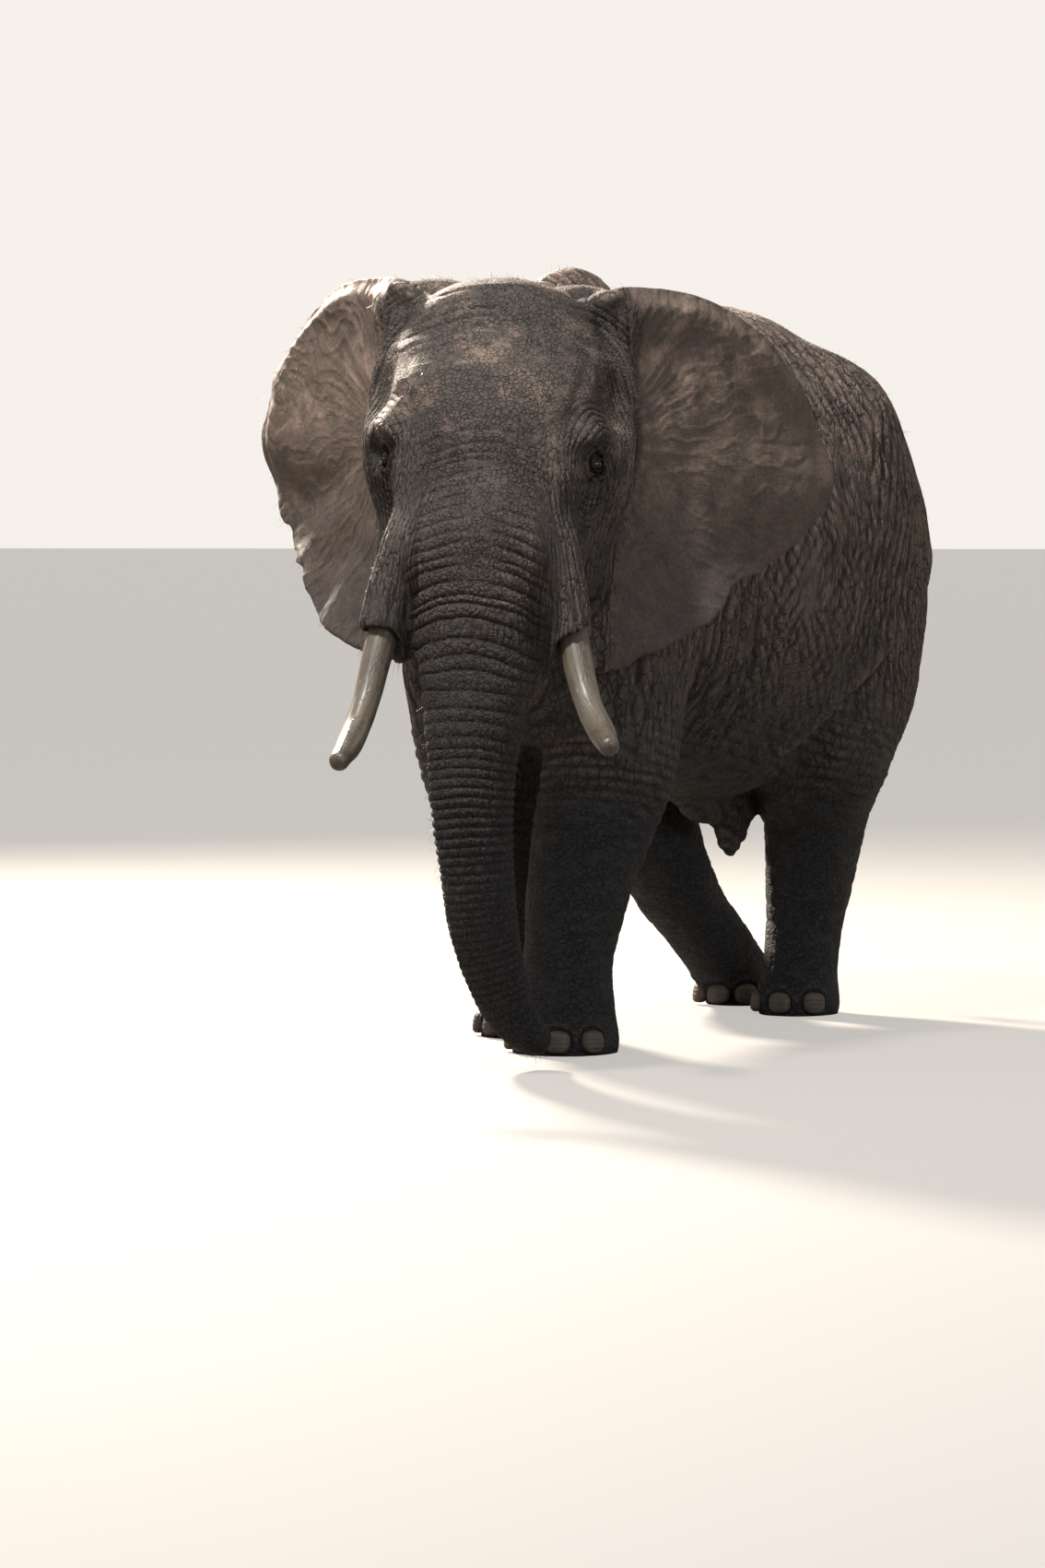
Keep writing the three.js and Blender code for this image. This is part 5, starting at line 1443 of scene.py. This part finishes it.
def make_hide(settings):
    """The whole hide, with what its finish and its bristles need to know at each point."""
    skin, at, crease_shade, damp = grow_hide(settings.crease_depth)
    thing = solid("hide", skin.co, *skin.loops())
    p = skin.base
    height = relief(skin)
    # each point's place in the net of cracks, in plates: long ones on body and cheeks, short ones elsewhere
    x, y, z = p.T
    crossed = bell(y - 300, 560) * bell(z - 1750, 600)
    net = np.stack([x / 38, (y - 0.5 * crossed * (z - 1750)) / 29, (z - 1000) / mix(66, 34, crossed)], 1)
    low_leg = at.leg * (1 - smooth(z, 800, 1200))
    net = mix(net, np.stack([x / 26, y / 26, (z - 1000) / 22], 1), low_leg[:, None])
    cheek = smooth(np.abs(at.side), 220, 330) * (1 - smooth(at.up, 2480, 2700))
    tall = mix(18, 80, cheek)
    face = np.stack([at.side / 20, at.front / 22, (at.level - 2480) / tall], 1)
    net = mix(net, face, smooth(at.head + at.trunk, 0.3, 0.7)[:, None])
    on_trunk = smooth(1900 - at.up, 0, 300) * (at.trunk > 0)
    net = mix(net, np.stack([at.across / 21, at.facing / 21, (at.level - 2480) / 17], 1), on_trunk[:, None])
    turn, reach = ear_fan(at.out, at.high)
    ear = at.ear > 0.02
    net[ear] = np.stack([turn * 22, reach / 90, at.off / 40], 1)[ear]
    # dust on what faces up, in patches over the brow and in a fan over the ears, with painted top light on
    # the torso; painted shade on the low parts
    upward = smooth(skin.normals()[:, 2], -0.1, 0.8)
    brow = at.head * smooth(at.up, 2200, 2600) * mix(0.02, 0.95, smooth(noise(p, 190, 71, 2), -0.1, 0.5))
    fan = smooth(noise(np.stack([turn * 900, reach * 0.35, at.ear_side * 100.0], 1), 110, 73), -0.2, 0.4)
    fan *= smooth(at.high, 2200, 2600) * (1 - smooth(reach, 700, 1050)) * smooth(reach, 60, 200)
    # the torso's dust, with painted top light making it paler higher up and where it faces up
    back = at.torso * (0.15 + 0.3 * upward + 0.55 * smooth(z, 1350, 2200))
    limbs = 0.35 * at.leg * smooth(z, 1000, 1600) + 0.3 * at.trunk * smooth(z, 1500, 2100)
    dust = np.clip(brow + back + limbs + at.ear * (0.12 + 0.85 * fan), 0, 1)
    # painted shade: darker towards the bottom of legs, trunk, belly and flank, and of the ears
    shade = np.clip(at.leg * (1 - smooth(z, 900, 1600)) + 0.9 * at.trunk * (1 - smooth(z, 900, 2100))
                    + 0.85 * at.torso * (1 - smooth(z, 1050, 1950))
                    + 0.5 * at.ear * (1 - smooth(at.high, 1850, 2500)), 0, 1)
    # crease is painted shade in furrows and in hollows under the surface round them; ridge is pale dust with
    # painted highlight on what stands proud
    set_point_values(
        thing, rest=placed(p), net=net, dust=dust, shade=shade, damp=damp, thin=at.ear,
        crease=np.clip(crease_shade * 0.6 + smooth(-height, 0.4, 4.5) * 0.9, 0, 1), ridge=smooth(height, 0.3, 4.0))
    # where bristles grow: number for each square metre, and their length in millimetres
    chin = at.head * (1 - smooth(at.up, 1780, 1900)) * (1 - smooth(at.front, 560, 640))
    crown = at.head * smooth(at.up, 2700, 2900)
    rim = at.ear * smooth(at.rim, -60, -10)
    canal = at.ear * (1 - smooth(at.out, 60, 170)) * (1 - smooth(np.abs(at.high - EAR_CANAL_LEVEL), 90, 190))
    many = (45 + 500 * at.trunk + 1500 * chin + 240 * crown + 160 * at.head + 200 * rim + 2600 * canal
            + 90 * at.torso * upward + 400 * at.tail) * (z > 40) * (damp < 0.05)
    long = 16 + 18 * at.trunk + 50 * chin + 26 * crown + 20 * rim + 75 * canal + 14 * at.torso + 20 * at.tail
    set_point_values(thing, bristle_number=many, bristle_length=long)
    set_map(thing, unwrap(skin, at))
    return finish_piece(thing, hide_finish(settings), "hide", *FLESH_NODES)


def tube_quads(bands, around):
    """The quads between rings that follow one another."""
    j = np.arange(around)
    k = (j + 1) % around
    return np.concatenate([np.stack([i + j, i + k, i + around + k, i + around + j], 1)
                           for i in np.arange(bands) * around])


def lathe(rings):
    """A closed mesh through rings of the same number of points, with a pole closing each end."""
    count, around = rings.shape[:2]
    points = np.concatenate([rings.reshape(-1, 3), rings[0].mean(0)[None], rings[-1].mean(0)[None]])
    j = np.arange(around)
    k = (j + 1) % around
    start, last = np.full(around, count * around), (count - 1) * around
    caps = np.concatenate([np.stack([start, k, j], 1), np.stack([start + 1, last + j, last + k], 1)])
    quads = tube_quads(count - 1, around)
    sizes = np.repeat([4, 3], [len(quads), len(caps)])
    return points, np.concatenate([quads.ravel(), caps.ravel()]), sizes


def make_eye(s, settings):
    """An eyeball with its cornea, looking out from the side of the head."""
    name = "eye_left" if s > 0 else "eye_right"
    centre, radius, out, front, up = eye_frame(s)
    around, bands = 64, 56
    angle = np.linspace(0.02, math.pi - 0.02, bands)
    turn = np.arange(around) / around * math.tau
    iris = math.radians(settings.iris_angle)
    bulge = settings.cornea * np.sqrt(np.maximum(1 - (angle / (iris * 1.08)) ** 2, 0))
    size = (radius - settings.cornea * 0.5 + bulge)[:, None, None]
    gaze = unit(out + 0.10 * front - 0.10 * up)
    right = unit(np.cross(gaze, up))
    above = np.cross(right, gaze)
    spin = np.cos(turn)[:, None] * right + np.sin(turn)[:, None] * above
    rings = centre + size * (np.cos(angle)[:, None, None] * gaze + np.sin(angle)[:, None, None] * spin[None])
    points, *faces = lathe(rings)
    thing = solid(name + "_ball", points, *faces)
    off = points - centre
    polar = np.arccos(np.clip(unit(off) @ gaze, -1, 1)) / iris
    disc = np.stack([np.arctan2(off @ above, off @ right) / 10, polar / 2, off @ gaze / 30], 1)
    set_point_values(thing, disc=disc, polar=polar)
    return finish_piece(thing, settings.finish(), "eye", name)


def make_tusk(s, settings):
    """A tusk from inside its sheath to the worn tip."""
    name = "tusk_left" if s > 0 else "tusk_right"
    tube = tusks[s]
    around, stations, dome = 72, 150, 12
    turn = np.arange(around) / around * math.tau
    t = np.concatenate([np.zeros(dome), np.linspace(0, 1, stations), np.ones(dome)])
    open_end, tip_end = -np.linspace(1, 0, dome, False), np.linspace(0, 1, dome + 1)[1:]
    lean = np.concatenate([open_end, np.zeros(stations), tip_end]) * (math.pi / 2 * 0.985)
    steps = np.linspace(0, 1, tube.steps + 1)

    def along(values):
        return np.stack([np.interp(t, steps, values[:, i]) for i in range(values.shape[1])], 1)

    at, tangent, side, face = (along(v) for v in (tube.at, tube.tangent, tube.side, tube.face))
    size = along(tube.sizes)[:, :1]
    spin = np.cos(turn)[None, :, None] * side[:, None] + np.sin(turn)[None, :, None] * face[:, None]
    # slight flutes, growth steps and a worn flat on the outer side of the tip
    grid_t, grid_a = np.meshgrid(t, turn, indexing="ij")
    uneven = 1 + 0.010 * np.sin(5 * grid_a + 3 * grid_t) + 0.007 * np.sin(11 * grid_a + 1.3)
    uneven += 0.006 * np.sin(grid_t * 47)
    uneven -= 0.03 * smooth(grid_t, 0.78, 1) * np.maximum(np.cos(grid_a - 0.6), 0)
    blunt = np.cos(lean)[:, None] ** 0.8 * size
    rings = at[:, None] + spin * (blunt * uneven)[:, :, None]
    rings += (tangent * np.sin(lean)[:, None] * size)[:, None] * 0.94
    thing = solid(name + "_ivory", *lathe(rings))
    t_all = np.append(np.repeat(t, around), [0, 1])
    angle = np.append(np.tile(turn, len(t)), [0, 0])
    length = np.linalg.norm(np.diff(tube.at, axis=0), axis=1).sum() / 1000
    grain = np.stack([np.cos(angle) * 0.06, t_all * length, np.sin(angle) * 0.06], 1)
    lip = 1 - smooth(t_all, 0.10, settings.lip_share)  # where the tusk leaves its sheath
    set_point_values(thing, grain=grain, tip=smooth(t_all, 0.72, 1.0), lip=lip)
    return finish_piece(thing, settings.finish(), "ivory", name)


def make_nails(foot, settings):
    """The nails of one foot, joined."""
    made, grain = [], []
    around, bands = 44, 30
    turn = np.arange(around) / around * math.tau
    tilt = np.linspace(0.03, math.pi - 0.03, bands)
    for number, (where, angle, wide) in enumerate(nails_of(foot)):
        c, n = math.cos(angle), math.sin(angle)
        # the pole points out of the foot; across and up make a rounded block
        power = 2 / settings.squareness
        a = np.sign(np.cos(turn)) * np.abs(np.cos(turn)) ** power
        u = np.sign(np.sin(turn)) * np.abs(np.sin(turn)) ** power
        ring = np.sin(tilt)[:, None] ** 0.9
        across, up = ring * a * wide, ring * u * NAIL_HALF
        level = np.cos(tilt)[:, None] * np.ones(around)
        out = 29 * np.sign(level) * np.abs(level) ** 0.6
        up = up - 5 * smooth(up, 10, 50)
        out = out + 1.0 * np.sin(up / 3.1 + number) * smooth(out, 0, 20) - 0.0025 * across**2
        out = out - 0.17 * up * smooth(out, -10, 20)
        chip = 3 * np.sin(across / 9 + number * 2) + 2 * np.sin(across / 3.7)
        up = np.maximum(up, -NAIL_LEVEL + 7 + chip * smooth(-up, 20, 50))
        local = np.stack([across * c + out * n, across * n - out * c, up], -1) + where
        points, flat, sizes = lathe(local)
        made.append((points, flat + number * len(points), sizes))
        grain.append((points - where) / 1000 + number)
    thing = solid(foot + "_nails", *(np.concatenate(part) for part in zip(*made)))
    set_point_values(thing, grain=np.concatenate(grain))
    nodes = [f"{foot}_nail_{i + 1}" for i in range(len(FEET[foot][2]))]
    return finish_piece(thing, settings.finish(), "nail", *nodes)


# ---- bristles
HAIR_PATCH = 0.003  # the part of the map that one strand takes up
HEAD_FROM = -1150  # bristles further forward are the head's


def strands(name, roots, way, length, radius, sag, patch, rng, knots=5, sides=3, curl=0.25):
    """Tapered strands as one mesh. They start along `way`, bend down by `sag` and any way by `curl`."""
    count = len(roots)
    t = np.linspace(0, 1, knots)
    way = unit(way)
    bend = unit(rng.normal(size=(count, 3))) * curl
    down = np.array([0, 0, -1.0])
    bend += sag[:, None] * down
    path = t[None, :, None] * way[:, None] + (t**2)[None, :, None] * bend[:, None]
    path = roots[:, None] + length[:, None, None] * path
    side = unit(np.cross(way, down + 0.3 * unit(rng.normal(size=(count, 3)))))
    other = np.cross(way, side)
    turn = np.arange(sides) / sides * math.tau
    ring = np.cos(turn)[None, :, None] * side[:, None] + np.sin(turn)[None, :, None] * other[:, None]
    taper = radius[:, None] * (1 - 0.8 * t[None, :-1])
    points = path[:, :-1, None] + taper[:, :, None, None] * ring[:, None]
    points = np.concatenate([points.reshape(count, -1, 3), path[:, -1:]], 1)
    each = points.shape[1]
    quads = tube_quads(knots - 2, sides)
    j, last = np.arange(sides), (knots - 2) * sides
    tips = np.stack([last + j, last + (j + 1) % sides, np.full(sides, each - 1)], 1)
    shift = (np.arange(count) * each)[:, None, None]
    flat = np.concatenate([(quads + shift).reshape(count, -1), (tips + shift).reshape(count, -1)], 1).ravel()
    sizes = np.tile(np.concatenate([np.full(len(quads), 4), np.full(len(tips), 3)]), count)
    points = points.reshape(-1, 3)
    thing = solid(name, points, flat, sizes)
    along = np.append(np.repeat(t[:-1], sides), 1.0)
    turned = np.append(np.tile(turn / math.tau, knots - 1), 0.5)
    spot = patch[:, None] + HAIR_PATCH * (np.stack([turned, along], 1)[None] - 0.5)
    set_map(thing, spot.reshape(-1, 2)[flat])
    own = np.repeat(rng.random(count), each)
    set_point_values(thing, along=np.tile(along, count), own=own, grain=placed(points))
    return thing


class Ground:
    """The made hide as a place for bristles to stand on."""

    def __init__(self):
        hide = bpy.data.objects.get("hide")
        if hide is None:
            raise RuntimeError("the hide is made first, because bristles stand on it")
        mesh = hide.data
        self.co = self.read(mesh.vertices, "co", 3) * 1000 - MIDDLE * 1000
        self.normal = self.read(mesh.vertices, "normal", 3)
        self.first = self.read(mesh.polygons, "loop_start", 1).astype(int)[:, 0]
        corners = self.read(mesh.loops, "vertex_index", 1).astype(int)[:, 0]
        self.corner = corners[self.first]
        self.across = corners[self.first + 2]
        self.uv = self.read(mesh.uv_layers["OFBake"].data, "uv", 2)[self.first]
        self.area = self.read(mesh.polygons, "area", 1)[:, 0]
        self.number = self.read(mesh.attributes["bristle_number"].data, "value", 1)[:, 0]
        self.length = self.read(mesh.attributes["bristle_length"].data, "value", 1)[:, 0]

    @staticmethod
    def read(data, name, width):
        kind = np.int32 if name in ("vertex_index", "loop_start") else np.float32
        values = np.empty(len(data) * width, kind)
        data.foreach_get(name, values)
        return values.reshape(-1, width)

    def scatter(self, faces, share, rng):
        """Random places on the faces: point, the hide's direction, place on the map, and nearest vertex."""
        expected = self.area[faces] * self.number[self.corner[faces]] * share
        chosen = faces[rng.random(len(faces)) < expected]
        w = rng.random((len(chosen), 1))
        a, b = self.corner[chosen], self.across[chosen]
        return mix(self.co[a], self.co[b], w), self.normal[a].astype(float), self.uv[chosen], a

    def nearest(self, points, reach=90.0):
        """The map's place at the hide nearest to each point."""
        i = np.flatnonzero(near_mask(self.co[self.corner], points, reach))
        found = [i[((self.co[self.corner[i]] - p) ** 2).sum(1).argmin()] for p in points]
        return self.uv[found]


def make_bristles(settings):
    """Sparse stiff hairs over head and trunk, and over the body."""
    ground = Ground()
    centre = ground.co[ground.corner]
    on_head = centre[:, 1] < HEAD_FROM
    for name, part, seed in (("head_bristles", on_head, 11), ("body_bristles", ~on_head, 12)):
        rng = np.random.default_rng(seed)
        root, normal, uv, i = ground.scatter(np.flatnonzero(part), settings.density, rng)
        length = ground.length[i] * (0.5 + rng.random(len(i)))
        way = normal * 0.9 + rng.normal(size=normal.shape) * 0.25 + np.array([0, 0.15, -0.35])
        radius = np.full(len(i), settings.thickness / 2) * (0.6 + 0.6 * rng.random(len(i)))
        thing = strands(name, root - normal * 1.5, way, length, radius, 0.15 + 0.004 * length, uv, rng)
        finish_piece(thing, settings.finish(), "hair")


def make_lashes(settings):
    """Long lashes that hang over each eye."""
    ground = Ground()
    rng = np.random.default_rng(21)
    count = 46
    for s in BOTH:
        centre, radius, out, front, up = eye_frame(s)
        a = np.linspace(-28, 26, count) + rng.normal(size=count) * 0.6
        row = 23 + 2.5 * rng.random(count) - 0.014 * a**2
        lift = np.sqrt(np.maximum((radius + 7.5) ** 2 - a**2 * 0.85 - row**2, 100))
        root = centre + a[:, None] * front + row[:, None] * up + lift[:, None] * out
        way = out + 0.1 * rng.normal(size=(count, 3)) - 0.8 * up + (a / 60)[:, None] * front
        length = settings.lash_length * (0.6 + 0.5 * rng.random(count))
        thick, sag = np.full(count, 0.55), np.full(count, 0.55)
        name = "lashes_left" if s > 0 else "lashes_right"
        thing = strands(name, root, way, length, thick, sag, ground.nearest(root), rng, knots=8)
        finish_piece(thing, settings.finish(), "hair")


def make_tail_brush(settings):
    """Two combs of wiry hair down the front and back edges of the tail's end, closing below it."""
    ground = Ground()
    rng = np.random.default_rng(31)
    count = settings.brush_hairs
    edge = np.where(rng.random(count) < 0.5, -1.0, 1.0)
    level = 1265 - 120 * rng.random(count) ** 1.2
    close = smooth(1230 - level, 0, 40)
    root = np.stack([rng.normal(size=count) * 7, 1860 + edge * mix(24, 10, close), level], 1)
    way = np.stack([rng.normal(size=count) * 0.04, edge * 0.10 * rng.random(count), np.full(count, -1.0)], 1)
    length = np.minimum(settings.brush_length * (0.45 + 0.55 * rng.random(count)), level - 866)
    radius = 1.0 + 0.5 * rng.random(count)
    thing = strands("tail_brush", root, way, length, radius, np.full(count, 0.05), ground.nearest(root), rng,
                    knots=12, curl=0.07)
    return finish_piece(thing, settings.finish(), "hair", "tail_tuft")


# ---- the studio
def aim(thing, target):
    from_here = np.array(target) - np.array(thing.location)
    flat = math.hypot(from_here[0], from_here[1])
    thing.rotation_euler = (math.atan2(flat, -from_here[2]), 0, math.atan2(-from_here[0], from_here[1]))


def soft_lamp(name, place, target, size, power, colour):
    data = bpy.data.lights.new(name, "AREA")
    data.shape, data.size, data.energy, data.color = "DISK", size, power, colour
    lamp = add_object(name, data)
    lamp.location = place
    aim(lamp, target)


def make_sky(settings):
    """Even light from all round, and a brighter sky for the camera to see."""
    world = bpy.data.worlds.new("soft_light")
    bpy.context.scene.world = world
    world.use_nodes = True
    nodes, links = world.node_tree.nodes, world.node_tree.links
    sky = nodes["Background"]
    sky.inputs["Color"].default_value = (*settings.sky_colour, 1.0)
    strength = nodes.new("ShaderNodeMapRange")
    strength.inputs["To Min"].default_value = settings.sky_strength
    strength.inputs["To Max"].default_value = settings.backdrop_strength
    links.new(nodes.new("ShaderNodeLightPath").outputs["Is Camera Ray"], strength.inputs["Value"])
    links.new(strength.outputs["Result"], sky.inputs["Strength"])


def make_studio(settings):
    """A pale floor, soft light and the camera."""
    f = Finish("floor", 0.85)
    tint = f.clouds(f.add("TexCoord", {}, "Object"), 0.35, 3.0)
    darker = tuple(c * 0.94 for c in settings.floor_colour)
    f.put("Base Color", f.mixed(settings.floor_colour[:], darker, tint))
    f.put("Emission Color", settings.sky_colour[:])
    f.put("Emission Strength", f.times(f.add("LightPath", {}, "Is Camera Ray"), settings.floor_glow))
    mesh = bpy.data.meshes.new("floor")
    r = settings.floor_size / 2
    mesh.from_pydata([(-r, -r, 0), (r, -r, 0), (r, r, 0), (-r, r, 0)], [], [(0, 1, 2, 3)])
    mesh.materials.append(f.material)
    add_object("floor", mesh)
    make_sky(settings)
    bpy.context.scene.view_settings.view_transform = "Standard"
    soft_lamp("rim_lamp", (-9.2, 6.5, 8.8), (0, -0.6, 2.2), 1.6, settings.rim_power, (1.0, 0.88, 0.74))
    soft_lamp("top_lamp", (-0.8, -5.6, 11.5), (0, -0.6, 1.8), 1.6, settings.top_power, (1.0, 0.96, 0.92))
    soft_lamp("fill_lamp", (13.0, -9.0, 6.0), (0, -0.5, 1.6), 5.0, settings.fill_power, (0.92, 0.96, 1.0))
    data = bpy.data.cameras.new("camera")
    data.lens, data.sensor_width, data.dof.use_dof = settings.lens, 36.0, False
    data.clip_end = settings.floor_size
    camera = add_object("camera", data)
    camera.location = MIDDLE + settings.camera_place
    camera.rotation_euler = (math.radians(90 - settings.camera_dip), 0, math.radians(settings.camera_turn))
    bpy.context.scene.camera = camera


# ---- what a user may change
def number(name, description, default, **limits):
    return FloatProperty(name=name, description=description, default=default, **limits)


def colour(name, description, default):
    limits = {"size": 3, "min": 0, "max": 1, "subtype": "COLOR"}
    return FloatVectorProperty(name=name, description=description, default=default, **limits)


def factor(name, description, default, low=0.0, high=2.0):
    return number(name, description, default, min=low, max=high, subtype="FACTOR")


def shared(name, make, settings):
    """One finish for all the pieces of a kind."""
    return bpy.data.materials.get(name) or make(settings)


class HideSettings(bpy.types.PropertyGroup):
    crease_depth: factor("Crease depth", "Depth of folds and wrinkles, as a share of the real one", 1.0)
    crack_depth: factor("Crack depth", "Strength of the net of fine cracks", 0.9, 0.0, 1.0)
    colour: colour("Hide", "Warm grey-brown of the lit hide", (0.098, 0.080, 0.070))
    dark_colour: colour("Dark hide", "Darker patches of the hide", (0.050, 0.042, 0.038))
    # colour of the painted shade on the low parts
    painted_shade_colour: colour("Low hide", "Bluer grey of legs and lower trunk", (0.026, 0.0275, 0.031))
    dust_colour: colour("Dust", "Pale pinkish dust on ridges, brow and back", (0.285, 0.212, 0.17))
    ear_colour: colour("Ears", "Browner thin skin of the ears", (0.125, 0.088, 0.068))


class EyeSettings(bpy.types.PropertyGroup):
    iris_angle: number("Iris", "Half angle of the iris in degrees, seen from within", 31.0, min=10, max=60)
    cornea: number("Cornea", "How far the cornea stands proud, in millimetres", 3.0, min=0, max=6)
    iris_colour: colour("Iris", "Dark brown of the iris", (0.042, 0.019, 0.008))
    iris_edge_colour: colour("Iris edge", "Dark rim and spokes of the iris", (0.020, 0.010, 0.006))
    white_colour: colour("White", "Brown-stained white of the eye", (0.060, 0.038, 0.030))

    def finish(self):
        return shared("eye_wet", eye_finish, self)


class TuskSettings(bpy.types.PropertyGroup):
    lip_share: factor("Dirt length", "Share of the tusk that is dirty at its lip", 0.36, 0.1, 1.0)
    # the ivory is darkened well below real ivory, as painted shade over the whole tusk
    colour: colour("Ivory", "Clean ivory", (0.175, 0.147, 0.112))
    stain_colour: colour("Stain", "Grey-brown staining", (0.085, 0.068, 0.052))
    dirt_colour: colour("Dirt", "Dark dirt at the lip and in the cracks", (0.045, 0.036, 0.029))

    def finish(self):
        return shared("tusk_ivory", tusk_finish, self)


class NailSettings(bpy.types.PropertyGroup):
    squareness: number("Squareness", "2 for an oval nail, more for a squarer one", 2.6, min=2, max=5)
    colour: colour("Horn", "Pale horn", (0.110, 0.092, 0.075))
    dark_colour: colour("Dark horn", "Dark growth lines", (0.055, 0.046, 0.039))
    dust_colour: colour("Dust", "Earth on the nails", (0.150, 0.122, 0.096))

    def finish(self):
        return shared("nail_horn", nail_finish, self)


class BristleSettings(bpy.types.PropertyGroup):
    density: factor("Density", "How many bristles grow, as a share of the usual number", 1.0)
    thickness: number("Thickness", "Width of a bristle at its root, in millimetres", 1.5, min=0.2, max=4)
    lash_length: number("Lashes", "Length of the eyelashes in millimetres", 52.0, min=10, max=150)
    brush_length: number("Brush length", "Length of the tail's hairs in millimetres", 360.0, min=50, max=700)
    brush_hairs: IntProperty(
        name="Brush hairs", description="Number of hairs in the tail's brush", default=620, min=50, max=2000
    )
    colour: colour("Hair", "Black-brown hair", (0.020, 0.015, 0.012))
    tip_colour: colour("Hair tips", "Dusty brown tips", (0.095, 0.070, 0.050))

    def finish(self):
        return shared("bristle", bristle_finish, self)


class StudioSettings(bpy.types.PropertyGroup):
    camera_place: FloatVectorProperty(
        name="Camera", description="Where the camera stands from the animal's middle", size=3,
        default=(11.740, -22.118, 2.14), subtype="TRANSLATION", unit="LENGTH",
    )
    camera_dip: number("Dip", "Degrees that the camera looks below level", 2.43)
    camera_turn: number("Turn", "Degrees that the camera is turned to its left", 29.0)
    lens: number("Lens", "Focal length in millimetres on a 36 mm frame", 132.06, min=20)
    rim_power: number("Rim light", "Power of the high lamp behind, in watts", 8200.0)
    top_power: number("Top light", "Power of the lamp overhead, in watts", 1500.0)
    fill_power: number("Fill light", "Power of the wide lamp in front, in watts", 420.0)
    sky_strength: number("Sky", "Strength of the light from all round", 0.36)
    backdrop_strength: number("Backdrop", "Brightness of the sky as seen", 0.92)
    sky_colour: colour("Sky colour", "Tint of the light from all round", (1.0, 0.955, 0.90))
    floor_size: number("Floor", "Width of the floor", 2400.0, unit="LENGTH")
    floor_colour: colour("Floor colour", "Pale floor", (0.14, 0.131, 0.121))
    floor_glow: factor("Floor glow", "How much brighter the floor looks than it lights", 0.5)


class ElephantSettings(bpy.types.PropertyGroup):
    hide: PointerProperty(type=HideSettings)
    eyes: PointerProperty(type=EyeSettings)
    tusks: PointerProperty(type=TuskSettings)
    nails: PointerProperty(type=NailSettings)
    bristles: PointerProperty(type=BristleSettings)
    studio: PointerProperty(type=StudioSettings)


# ---- operators, one for each piece or group
class ELEPHANT_OT_hide(bpy.types.Operator):
    """Make the one hide that covers all the flesh, with its folds, lids, lips and wrinkles"""

    bl_idname = "elephant.hide"
    bl_label = "Hide"

    def execute(self, context):
        make_hide(context.scene.elephant.hide)
        return {"FINISHED"}


class ELEPHANT_OT_eyes(bpy.types.Operator):
    """Make both eyeballs, set behind the lids"""

    bl_idname = "elephant.eyes"
    bl_label = "Eyes"

    def execute(self, context):
        for s in BOTH:
            make_eye(s, context.scene.elephant.eyes)
        return {"FINISHED"}


class ELEPHANT_OT_tusks(bpy.types.Operator):
    """Make both tusks of worn ivory"""

    bl_idname = "elephant.tusks"
    bl_label = "Tusks"

    def execute(self, context):
        for s in BOTH:
            make_tusk(s, context.scene.elephant.tusks)
        return {"FINISHED"}


class ELEPHANT_OT_nails(bpy.types.Operator):
    """Make the nails of all four feet"""

    bl_idname = "elephant.nails"
    bl_label = "Nails"

    def execute(self, context):
        for foot in FEET:
            make_nails(foot, context.scene.elephant.nails)
        return {"FINISHED"}


class ELEPHANT_OT_bristles(bpy.types.Operator):
    """Scatter sparse bristles over head, trunk and body"""

    bl_idname = "elephant.bristles"
    bl_label = "Bristles"

    def execute(self, context):
        make_bristles(context.scene.elephant.bristles)
        return {"FINISHED"}


class ELEPHANT_OT_lashes(bpy.types.Operator):
    """Hang the lashes over both eyes"""

    bl_idname = "elephant.lashes"
    bl_label = "Eyelashes"

    def execute(self, context):
        make_lashes(context.scene.elephant.bristles)
        return {"FINISHED"}


class ELEPHANT_OT_tail_brush(bpy.types.Operator):
    """Make the brush of wiry hair at the tail's end"""

    bl_idname = "elephant.tail_brush"
    bl_label = "Tail brush"

    def execute(self, context):
        make_tail_brush(context.scene.elephant.bristles)
        return {"FINISHED"}


class ELEPHANT_OT_studio(bpy.types.Operator):
    """Set the pale floor, the soft lamps and the camera"""

    bl_idname = "elephant.studio"
    bl_label = "Studio"

    def execute(self, context):
        make_studio(context.scene.elephant.studio)
        return {"FINISHED"}


OPERATORS = (
    ELEPHANT_OT_hide, ELEPHANT_OT_eyes, ELEPHANT_OT_tusks, ELEPHANT_OT_nails,
    ELEPHANT_OT_bristles, ELEPHANT_OT_lashes, ELEPHANT_OT_tail_brush, ELEPHANT_OT_studio,
)


class ELEPHANT_PT_panel(bpy.types.Panel):
    """Lists the elephant's pieces with their settings"""

    bl_idname = "ELEPHANT_PT_panel"
    bl_label = "Walking bull elephant"
    bl_space_type = "VIEW_3D"
    bl_region_type = "UI"
    bl_category = "Elephant"

    def draw(self, context):
        settings = context.scene.elephant
        for operator in OPERATORS:
            self.layout.operator(operator.bl_idname)
        for group in ("hide", "eyes", "tusks", "nails", "bristles", "studio"):
            box = self.layout.box()
            box.label(text=group.capitalize())
            values = getattr(settings, group)
            for name in values.__annotations__:
                box.prop(values, name)


GROUPS = (
    HideSettings, EyeSettings, TuskSettings, NailSettings, BristleSettings, StudioSettings, ElephantSettings,
)
CLASSES = (*GROUPS, *OPERATORS, ELEPHANT_PT_panel)


def register():
    for cls in CLASSES:
        bpy.utils.register_class(cls)
    bpy.types.Scene.elephant = PointerProperty(type=ElephantSettings)


def unregister():
    del bpy.types.Scene.elephant
    for cls in reversed(CLASSES):
        bpy.utils.unregister_class(cls)


def main():
    register()
    bpy.ops.elephant.hide()
    bpy.ops.elephant.eyes()
    bpy.ops.elephant.tusks()
    bpy.ops.elephant.nails()
    bpy.ops.elephant.bristles()
    bpy.ops.elephant.lashes()
    bpy.ops.elephant.tail_brush()
    bpy.ops.elephant.studio()


if __name__ == "__main__":
    main()
